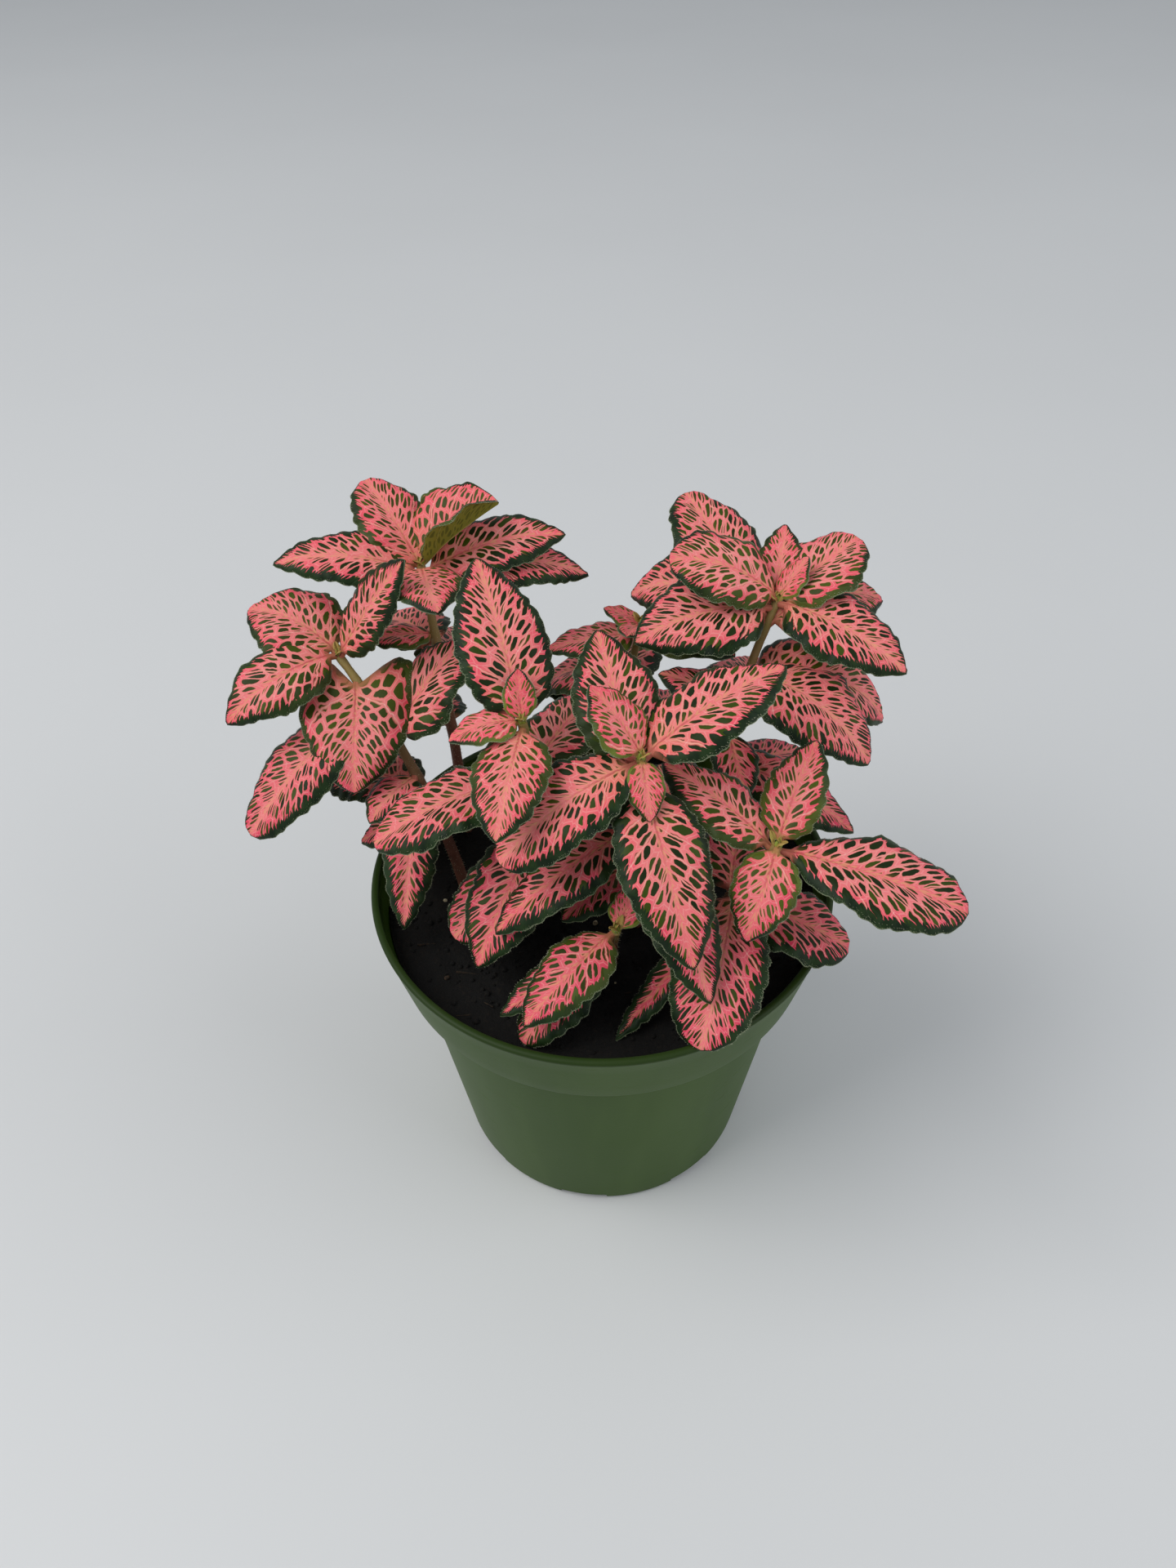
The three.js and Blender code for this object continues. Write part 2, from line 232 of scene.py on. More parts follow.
def new_material(name, **constants):
    """A material with its shader's constants set on the shader's own sockets."""
    material = bpy.data.materials.new(name)
    material.use_nodes = True
    shader = material.node_tree.nodes["Principled BSDF"]
    for socket, value in constants.items():
        shader.inputs[socket.replace("_", " ")].default_value = value
    return material, material.node_tree, shader


def mixed(factor, first, second):
    """The first colour where the factor is 0, the second where it is 1."""
    node = add_node(factor.tree, "ShaderNodeMix", data_type="RGBA")
    feed(node.inputs[0], factor)
    feed(node.inputs[6], first)
    feed(node.inputs[7], second)
    return Wire(node.outputs[2])


def coated(base, *coats):
    """A base colour under coats of others, as (amount, colour) pairs with the last on top."""
    for amount, colour in coats:
        base = mixed(amount, base, colour)
    return base


def set_bump(shader, height, strength, distance):
    """Raises the surface by a height from 0 to 1, over a distance in metres."""
    node = add_node(
        shader.id_data,
        "ShaderNodeBump",
        {"Height": height, "Strength": strength, "Distance": distance},
    )
    feed(shader.inputs["Normal"], Wire(node.outputs[0]))


def object_place(tree):
    """The point's place on the object, in metres."""
    return Wire(add_node(tree, "ShaderNodeTexCoord").outputs["Object"])


# %% Floor
FLOOR_HALF_SIDE = 6.0


def make_floor():
    material, tree, shader = new_material("floor_pale", Roughness=0.5)
    cloud = noise(object_place(tree), 3.0, 4.0)
    feed(shader.inputs["Base Color"], mixed(cloud, paint(209, 210, 211), paint(217, 218, 219)))
    side = FLOOR_HALF_SIDE
    mesh = bpy.data.meshes.new("floor")
    corners = [(-side, -side, 0), (side, -side, 0), (side, side, 0), (-side, side, 0)]
    mesh.from_pydata(corners, [], [(0, 1, 2, 3)])
    mesh.materials.append(material)
    floor = bpy.data.objects.new("floor", mesh)
    bpy.context.collection.objects.link(floor)


make_floor()


# %% Light
def add_area_light(name, place, target, side, power, colour):
    data = bpy.data.lights.new(name, "AREA")
    data.size = side
    data.energy = power
    data.color = colour
    light = bpy.data.objects.new(name, data)
    light.location = place
    light.rotation_euler = (Vector(target) - Vector(place)).to_track_quat("-Z", "Y").to_euler()
    bpy.context.collection.objects.link(light)


PLANT_MIDDLE = (0, 0, 0.09)
add_area_light("key_light", (-1.1, -0.3, 1.4), PLANT_MIDDLE, 1.3, 19, (1.0, 0.985, 0.96))
add_area_light("fill_light", (1.4, -0.3, 0.9), PLANT_MIDDLE, 1.5, 9, (0.98, 0.99, 1.0))

world = bpy.data.worlds.new("bright_room")
world.use_nodes = True
world.node_tree.nodes["Background"].inputs["Color"].default_value = (0.9, 0.95, 1.0, 1)
world.node_tree.nodes["Background"].inputs["Strength"].default_value = 0.45
bpy.context.scene.world = world
bpy.context.scene.view_settings.view_transform = "Standard"

# %% [markdown]
# ## Helpers for meshes and Geometry Nodes
#
# Each piece is one object at the origin, with its place in its mesh. A Geometry Nodes tree
# grows the detail, and then the result is written out as a plain mesh and the modifier is
# taken off, because a tree's instances would be lost when the model is exported.


# %% Helpers for Geometry Nodes
def new_object(name, mesh):
    piece = bpy.data.objects.new(name, mesh)
    bpy.context.collection.objects.link(piece)
    return piece


def new_tree(name, **inputs):
    """A Geometry Nodes tree with named number inputs. Gives the tree and its inputs' wires."""
    tree = bpy.data.node_groups.new(name, "GeometryNodeTree")
    tree.interface.new_socket("Geometry", in_out="INPUT", socket_type="NodeSocketGeometry")
    for label, default in inputs.items():
        whole = isinstance(default, int)
        kind = "NodeSocketInt" if whole else "NodeSocketFloat"
        socket = tree.interface.new_socket(
            label.replace("_", " "), in_out="INPUT", socket_type=kind
        )
        socket.default_value = default
    tree.interface.new_socket("Geometry", in_out="OUTPUT", socket_type="NodeSocketGeometry")
    entry = tree.nodes.new("NodeGroupInput")
    wires = {socket.name.replace(" ", "_"): Wire(socket) for socket in entry.outputs[:-1]}
    return tree, wires


def finish_tree(tree, geometry, *painted):
    """Ends a tree in Realize Instances and Set Material, one for each (material, selection)."""
    node = add_node(tree, "GeometryNodeRealizeInstances", {"Geometry": geometry})
    for material, selection in painted:
        choice = {} if selection is None else {"Selection": selection}
        node = add_node(
            tree,
            "GeometryNodeSetMaterial",
            {"Geometry": Wire(node.outputs[0]), "Material": material, **choice},
        )
    leave = tree.nodes.new("NodeGroupOutput")
    feed(leave.inputs[0], Wire(node.outputs[0]))


def grow(piece, tree, **values):
    """Runs a tree on a piece and leaves the result as the piece's plain mesh."""
    modifier = piece.modifiers.new("grow", "NODES")
    modifier.node_group = tree
    for item in tree.interface.items_tree:
        label = item.name.replace(" ", "_")
        if item.in_out == "INPUT" and label in values:
            modifier[item.identifier] = values[label]
    grown = piece.evaluated_get(bpy.context.evaluated_depsgraph_get())
    mesh = bpy.data.meshes.new_from_object(grown)
    if mesh.materials[0] is None:
        mesh.materials.pop(index=0)
    piece.modifiers.clear()
    piece.data = mesh
    mesh.name = piece.name


def attribute(tree, name, kind="FLOAT"):
    """A named attribute, read in a Geometry Nodes tree."""
    node = add_node(tree, "GeometryNodeInputNamedAttribute", {"Name": name}, data_type=kind)
    return Wire(node.outputs[0])


def store(geometry, name, value, kind="FLOAT"):
    """Keeps a value on every point of a geometry, under a name."""
    node = add_node(
        geometry.tree,
        "GeometryNodeStoreNamedAttribute",
        {"Geometry": geometry, "Name": name, "Value": value},
        data_type=kind,
    )
    return Wire(node.outputs[0])


def geometry_node(kind, inputs, **settings):
    """A node in the tree of its first wire. Gives its first output."""
    tree = next(value.tree for value in inputs.values() if isinstance(value, Wire))
    return Wire(add_node(tree, kind, inputs, **settings).outputs[0])


def own_place(tree):
    """Where each point is, read in a Geometry Nodes tree."""
    return Wire(tree.nodes.new("GeometryNodeInputPosition").outputs[0])


def ball(tree, subdivisions):
    """A ball of radius 1."""
    sizes = {"Radius": 1.0, "Subdivisions": subdivisions}
    return Wire(add_node(tree, "GeometryNodeMeshIcoSphere", sizes).outputs[0])


def copies(points, shape, **sockets):
    """A real copy of a shape on every point, with its turn or its scale named as sockets."""
    inputs = {"Points": points, "Instance": shape, **sockets}
    placed = geometry_node("GeometryNodeInstanceOnPoints", inputs)
    return geometry_node("GeometryNodeRealizeInstances", {"Geometry": placed})


def random_number(tree, low, high, seed):
    """A different number for every point, the same on every run."""
    node = add_node(tree, "FunctionNodeRandomValue", {2: low, 3: high, "Seed": seed})
    return Wire(node.outputs[1])


def declare(piece, node):
    """Sets what a finished piece rides on, hides the CAD part it stands for and prints its
    triangles.
    """
    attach(piece, "root")
    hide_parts(node)
    piece.data.calc_loop_triangles()
    print(piece.name, "stands for", node, "with", len(piece.data.loop_triangles), "triangles")


# %% [markdown]
# ## The pot
#
# A nursery pot is injection moulded: a thin tapered wall, a slightly wider band at the rim
# that lets pots stack, and slots round the edge of the base that let water out. Its section
# is the same all round, so a profile of radius and height is turned about the axis. Short
# extra steps beside each corner keep the corners crisp but not razor sharp. The slots repeat,
# so Geometry Nodes set a ring of cutters round the base and take them out of the wall.

# %% Pot profile
POT_HEIGHT = 85 * MM
RIM_RADIUS = 54 * MM
BAND_HEIGHT = 18 * MM
BAND_BOTTOM = POT_HEIGHT - BAND_HEIGHT
BAND_BOTTOM_RADIUS = 50 * MM
BODY_TOP_RADIUS = 46.5 * MM
BASE_RADIUS = 37.5 * MM
WALL = 1.4 * MM
LIP_DEPTH = 1.6 * MM
FOOT_RECESS_RADIUS = 30 * MM
FOOT_RECESS = 0.6 * MM
FIRST_SLOT_DEGREES = -98
POT_SIDES = 160


def body_radius(height):
    return BASE_RADIUS + (BODY_TOP_RADIUS - BASE_RADIUS) * height / BAND_BOTTOM


def band_radius(height):
    share = (height - BAND_BOTTOM) / BAND_HEIGHT
    return BAND_BOTTOM_RADIUS + (RIM_RADIUS - BAND_BOTTOM_RADIUS) * share


def inner_radius(height):
    if height < BAND_BOTTOM + WALL:
        return body_radius(min(height, BAND_BOTTOM)) - WALL
    return band_radius(height) - WALL


def rounded(start, corner, end, steps=4):
    """Points of a small curve from start to end, pulled towards the corner."""
    points = []
    for step in range(steps + 1):
        t = step / steps
        weights = ((1 - t) ** 2, 2 * t * (1 - t), t * t)
        points.append(
            tuple(sum(w * p[axis] for w, p in zip(weights, (start, corner, end))) for axis in (0, 1))
        )
    return points


def straight(start, end, steps):
    """Points from start to end, without the two ends."""
    return [
        tuple(start[axis] + (end[axis] - start[axis]) * step / steps for axis in (0, 1))
        for step in range(1, steps)
    ]


def pot_profile():
    """(radius, height) from the middle of the underside, up the outside, down the inside."""
    foot = rounded(
        (BASE_RADIUS - 1.6 * MM, 0), (BASE_RADIUS, 0), (body_radius(1.8 * MM), 1.8 * MM), 6
    )
    body_top = (BODY_TOP_RADIUS, BAND_BOTTOM)
    fillet = rounded(
        (body_radius(BAND_BOTTOM - 0.6 * MM), BAND_BOTTOM - 0.6 * MM),
        body_top,
        (BODY_TOP_RADIUS + 0.6 * MM, BAND_BOTTOM),
        3,
    )
    ledge = rounded(
        (BAND_BOTTOM_RADIUS - 0.7 * MM, BAND_BOTTOM),
        (BAND_BOTTOM_RADIUS, BAND_BOTTOM),
        (band_radius(BAND_BOTTOM + 0.8 * MM), BAND_BOTTOM + 0.8 * MM),
        4,
    )
    lip_edge = (RIM_RADIUS - 0.1 * MM, POT_HEIGHT - 0.5 * MM)
    lip_outside = rounded(
        (band_radius(POT_HEIGHT - LIP_DEPTH), POT_HEIGHT - LIP_DEPTH),
        (RIM_RADIUS, POT_HEIGHT - 1.0 * MM),
        lip_edge,
        3,
    )
    lip_top = rounded(
        lip_edge, (RIM_RADIUS - 0.4 * MM, POT_HEIGHT), (RIM_RADIUS - 1.0 * MM, POT_HEIGHT), 3
    )
    lip_inside = rounded(
        (RIM_RADIUS - 1.5 * MM, POT_HEIGHT - 0.1 * MM),
        (RIM_RADIUS - 2.1 * MM, POT_HEIGHT - 0.3 * MM),
        (inner_radius(POT_HEIGHT - LIP_DEPTH), POT_HEIGHT - LIP_DEPTH),
        4,
    )
    inner_ledge = BAND_BOTTOM + WALL
    return [
        (0.0, FOOT_RECESS),
        *straight((0.0, FOOT_RECESS), (FOOT_RECESS_RADIUS, FOOT_RECESS), 4),
        *rounded((FOOT_RECESS_RADIUS, FOOT_RECESS), (31 * MM, 0.5 * MM), (31.5 * MM, 0), 3),
        *foot,
        *straight(foot[-1], fillet[0], 12),
        *fillet,
        *ledge,
        *straight(ledge[-1], lip_outside[0], 4),
        *lip_outside,
        *lip_top[1:],
        *lip_inside,
        *straight(lip_inside[-1], (inner_radius(inner_ledge), inner_ledge), 5),
        (inner_radius(inner_ledge), inner_ledge),
        (inner_radius(BAND_BOTTOM), BAND_BOTTOM),
        *straight((inner_radius(BAND_BOTTOM), BAND_BOTTOM), (inner_radius(WALL), WALL), 8),
        (inner_radius(WALL), WALL),
        *straight((inner_radius(WALL), WALL), (0.0, WALL), 4),
        (0.0, WALL),
    ]


def turned(name, profile, sides):
    """A profile from axis to axis, turned about Z into a closed mesh with its poles shared."""
    vertices = [(0, 0, profile[0][1])]
    for radius, height in profile[1:-1]:
        for side in range(sides):
            angle = math.tau * side / sides
            vertices.append((radius * math.cos(angle), radius * math.sin(angle), height))
    vertices.append((0, 0, profile[-1][1]))
    last = len(vertices) - 1
    rings = len(profile) - 2
    faces = []
    for side in range(sides):
        after = (side + 1) % sides
        faces.append((0, 1 + after, 1 + side))
        for ring in range(rings - 1):
            here, above = 1 + ring * sides, 1 + (ring + 1) * sides
            faces.append((here + side, here + after, above + after, above + side))
        top = 1 + (rings - 1) * sides
        faces.append((top + side, top + after, last))
    mesh = bpy.data.meshes.new(name)
    mesh.from_pydata(vertices, [], faces)
    mesh.validate()
    return mesh


# %% Pot plastic
def make_pot_plastic():
    """Dark leaf green, satin, a little milky, with faint scuffs, the flow of the mould and painted
    shade on the lip.
    """
    material, tree, shader = new_material("pot_plastic_green", Specular_IOR_Level=0.16)
    place = object_place(tree)
    x, y, z = parts(place)
    streaks = noise(vector(x * 60, y * 60, z * 6), 1.0, 3.0)
    cloud = noise(place, 22.0, 3.0)
    scuffs = noise(vector(x * 30, y * 30, z * 160), 4.0, 4.0, 0.65).ramp(0.6, 0.75)
    deep = mixed(cloud, paint(48, 74, 16), paint(56, 81, 24))
    milky = mixed(streaks.ramp(0.35, 0.7) * 0.4, deep, paint(72, 97, 40))
    scuffed = mixed(scuffs * 0.14, milky, paint(106, 128, 82))
    # Painted shade: the lip and the top of the inner wall are painted a darker green.
    painted_shade_lip = z.ramp(POT_HEIGHT - LIP_DEPTH, POT_HEIGHT - 0.4 * MM)
    feed(shader.inputs["Base Color"], mixed(painted_shade_lip * 0.75, scuffed, paint(30, 44, 16)))
    feed(shader.inputs["Roughness"], cloud.between(0.38, 0.52) + scuffs * 0.12)
    grain = noise(place, 1400.0, 2.0)
    set_bump(shader, grain * 0.35 + streaks * 0.65, 0.25, 0.0002)
    return material


# %% Drain slots, cut by Geometry Nodes
def make_slot_tree(material):
    tree, inputs = new_tree(
        "cut_drain_slots",
        Slots=8,
        Ring_Radius=0.0375,
        Slot_Width=0.012,
        Slot_Height=0.0022,
        Slot_Depth=0.005,
        First_Angle=0.0,
    )
    ring = add_node(tree, "GeometryNodeMeshCircle", {"Vertices": inputs["Slots"]})
    feed(ring.inputs["Radius"], inputs["Ring_Radius"])
    index = Wire(add_node(tree, "GeometryNodeInputIndex").outputs[0])
    angle = index * math.tau / inputs["Slots"] + inputs["First_Angle"]
    cutter = geometry_node(
        "GeometryNodeMeshCube",
        {"Size": vector(inputs["Slot_Depth"] * 2, inputs["Slot_Width"], inputs["Slot_Height"] * 2)},
    )
    radius = inputs["Ring_Radius"]
    seats = geometry_node(
        "GeometryNodeSetPosition",
        {
            "Geometry": Wire(ring.outputs[0]),
            "Position": vector(angle.cos() * radius, angle.sin() * radius, 0.0),
        },
    )
    turn = geometry_node("FunctionNodeEulerToRotation", {"Euler": vector(0.0, 0.0, angle)})
    cutters = copies(seats, cutter, Rotation=turn)
    cut = geometry_node(
        "GeometryNodeMeshBoolean",
        {"Mesh 1": inputs["Geometry"], "Mesh 2": cutters},
        operation="DIFFERENCE",
        solver="EXACT",
    )
    finish_tree(tree, cut, (material, None))
    return tree


def shade(mesh, sharpest_degrees):
    """Smooth shading, except across edges sharper than an angle."""
    mesh.polygons.foreach_set("use_smooth", [True] * len(mesh.polygons))
    mesh.set_sharp_from_angle(angle=math.radians(sharpest_degrees))


pot = new_object("nursery_pot", turned("nursery_pot", pot_profile(), POT_SIDES))
grow(pot, make_slot_tree(make_pot_plastic()), First_Angle=math.radians(FIRST_SLOT_DEGREES))
shade(pot.data, 50)
declare(pot, "pot")

# %% [markdown]
# ## The potting soil
#
# Peat-based soil is almost black, crumbly and matt, with bark fibres and a few pale grains
# of perlite. The body of the soil is a plug turned like the pot, with a lumpy top. Crumbs,
# fibres and grains repeat without order, so Geometry Nodes scatter small lumpy shapes over
# the top, each kind with its own size, number and material.

# %% Soil body
SOIL_TOP = 77 * MM
SEAT_GAP = 0.3 * MM
SOIL_SIDES = 120
SOIL_RINGS = 34


def soil_height(x, y):
    """The same gentle lumps as the CAD solid, with a finer crumble on top."""
    x, y = x / MM, y / MM
    coarse = math.sin(0.31 * x + 1.3) * math.cos(0.27 * y - 0.4)
    fine = math.sin(0.83 * x - 0.46 * y) * math.cos(0.91 * y + 0.22 * x)
    crumble = math.sin(2.1 * x + 0.7 * y) * math.sin(1.7 * y - 1.1 * x)
    return SOIL_TOP + (0.42 * coarse + 0.42 * fine + 0.22 * crumble) * MM


def make_soil_body():
    rim = inner_radius(SOIL_TOP) - SEAT_GAP
    ledge = BAND_BOTTOM + WALL + SEAT_GAP
    profile = [
        (0.0, WALL + SEAT_GAP),
        (inner_radius(WALL) - SEAT_GAP, WALL + SEAT_GAP),
        (inner_radius(BAND_BOTTOM) - SEAT_GAP, ledge),
        (inner_radius(ledge) - SEAT_GAP, ledge),
        (rim, SOIL_TOP - 0.5 * MM),
        *[(rim * (1 - ring / SOIL_RINGS), SOIL_TOP) for ring in range(SOIL_RINGS)],
        (0.0, SOIL_TOP),
    ]
    mesh = turned("potting_soil_top", profile, SOIL_SIDES)
    for vertex in mesh.vertices:
        if vertex.co.z > SOIL_TOP - 0.1 * MM:
            vertex.co.z = soil_height(vertex.co.x, vertex.co.y)
    return mesh


# %% Soil materials
def make_soil_material():
    """Wet peat: nearly black, with brown crumbs."""
    material, tree, shader = new_material("soil_peat", Specular_IOR_Level=0.25)
    place = object_place(tree)
    crumbs = noise(place, 900.0, 4.0, 0.7)
    patches = noise(place, 60.0, 2.0)
    dark = mixed(patches, paint(9, 9, 9), paint(21, 19, 17))
    feed(shader.inputs["Base Color"], mixed(crumbs.ramp(0.5, 0.75) * 0.5, dark, paint(42, 36, 30)))
    feed(shader.inputs["Roughness"], crumbs.between(0.75, 1.0))
    set_bump(shader, crumbs, 0.9, 0.0006)
    return material


def make_grain_material(name, dark, pale, scale):
    """Fibre, bark and perlite: a speckled colour between two tones."""
    material, tree, shader = new_material(name, Specular_IOR_Level=0.3, Roughness=0.85)
    place = object_place(tree)
    speckle = noise(place, scale, 3.0, 0.6)
    feed(shader.inputs["Base Color"], mixed(speckle.ramp(0.35, 0.65), dark, pale))
    set_bump(shader, speckle, 0.6, 0.0003)
    return material


# %% Scatter crumbs, fibres and grains
def scatter(tree, surface, shape, density, seed, small, large, flatness):
    """Copies of a shape on the parts of a surface that face up, turned at random."""
    points = geometry_node(
        "GeometryNodeDistributePointsOnFaces",
        {
            "Mesh": surface,
            "Selection": faces_up(tree).above(0.6),
            "Density": density,
            "Seed": seed,
        },
    )
    size = random_number(tree, small, large, seed)
    turn = vector(
        random_number(tree, -0.5, 0.5, seed + 1),
        random_number(tree, -0.5, 0.5, seed + 2),
        random_number(tree, 0.0, math.tau, seed + 3),
    )
    return copies(
        points,
        shape,
        Rotation=geometry_node("FunctionNodeEulerToRotation", {"Euler": turn}),
        Scale=vector(size, size * random_number(tree, 0.6, 1.0, seed + 4), size * flatness),
    )


def faces_up(tree):
    """How far a face looks up, from -1 to 1."""
    return parts(Wire(tree.nodes.new("GeometryNodeInputNormal").outputs[0]))[2]


def lump(tree, seed, subdivisions=1):
    """A small rounded stone of radius 1 with dents, to be scattered."""
    x, y, z = parts(own_place(tree))
    dent = noise(vector(x + seed, y, z), 1.1, 1.0).between(0.55, 1.4)
    return geometry_node(
        "GeometryNodeSetPosition",
        {"Geometry": ball(tree, subdivisions), "Position": vector(x * dent, y * dent, z * dent)},
    )


def fibre(tree):
    """A thin splinter of bark, 1 long."""
    stick = add_node(
        tree,
        "GeometryNodeMeshCone",
        {"Vertices": 5, "Radius Top": 0.03, "Radius Bottom": 0.07, "Depth": 1.0},
    )
    return geometry_node(
        "GeometryNodeTransform",
        {
            "Geometry": Wire(stick.outputs[0]),
            "Translation": (-0.5, 0.0, 0.0),
            "Rotation": (0.0, math.pi / 2, 0.0),
        },
    )


def make_soil_tree():
    tree, inputs = new_tree(
        "scatter_soil",
        Crumb_Density=60000.0,
        Fibre_Density=5000.0,
        Bark_Density=700.0,
        Perlite_Density=1900.0,
        Seed=4,
    )
    surface = inputs["Geometry"]
    kinds = [
        (lump(tree, 3.0), inputs["Crumb_Density"], 0, 0.35 * MM, 1.0 * MM, 0.8),
        (fibre(tree), inputs["Fibre_Density"], 10, 2.0 * MM, 5.0 * MM, 1.0),
        (lump(tree, 9.0, 2), inputs["Bark_Density"], 20, 0.6 * MM, 1.3 * MM, 0.6),
        (lump(tree, 5.0, 2), inputs["Perlite_Density"], 30, 0.3 * MM, 1.2 * MM, 0.7),
    ]
    joined = tree.nodes.new("GeometryNodeJoinGeometry")
    tree.links.new(store(surface, "kind", -1.0).socket, joined.inputs[0])
    for number, (shape, density, seed, *sizes) in enumerate(kinds):
        placed = scatter(tree, surface, shape, density, inputs["Seed"] + seed, *sizes)
        tree.links.new(store(placed, "kind", float(number)).socket, joined.inputs[0])
    kind = attribute(tree, "kind")
    peat = make_soil_material()
    fibre_brown = make_grain_material("soil_fibre", paint(22, 18, 15), paint(58, 45, 32), 900.0)
    bark_brown = make_grain_material("soil_bark", paint(20, 16, 13), paint(66, 50, 36), 700.0)
    perlite_tan = make_grain_material(
        "soil_perlite", paint(128, 116, 88), paint(196, 186, 160), 800.0
    )
    finish_tree(
        tree,
        Wire(joined.outputs[0]),
        (peat, None),
        (fibre_brown, kind.above(0.5)),
        (bark_brown, kind.above(1.5)),
        (perlite_tan, kind.above(2.5)),
    )
    return tree


soil = new_object("potting_soil_filling", make_soil_body())
grow(soil, make_soil_tree())
shade(soil.data, 60)
declare(soil, "potting_soil")

# %% [markdown]
# ## The leafy stems: where everything grows
#
# Eight stems rise from the soil, and each carries its leaves in opposite pairs, large lower down
# and small and fine at the growing tip, and painted darker low in the plant as painted shade. The
# table gives each stem's foot and tip in millimetres. A leaf is its place along the stem, its
# heading and rise in degrees, its length and width, how far it curls over, and how far it rolls.

# %% Stems and leaves
# A blade's shape: its fullness at the base and at the tip (small is blunt, large is drawn
# out), how steeply its two halves rise from the midrib, and how far its base reaches back.
OVAL = (0.52, 0.80, 0.25, 0.15)
BLUNT = (0.48, 0.50, 0.25, 0.15)
HEART = (0.32, 0.75, 0.25, 1.25)
FOLDED = (0.42, 0.60, 1.10, 0.0)
PADDLE = (0.72, 0.55, 0.25, 0.0)

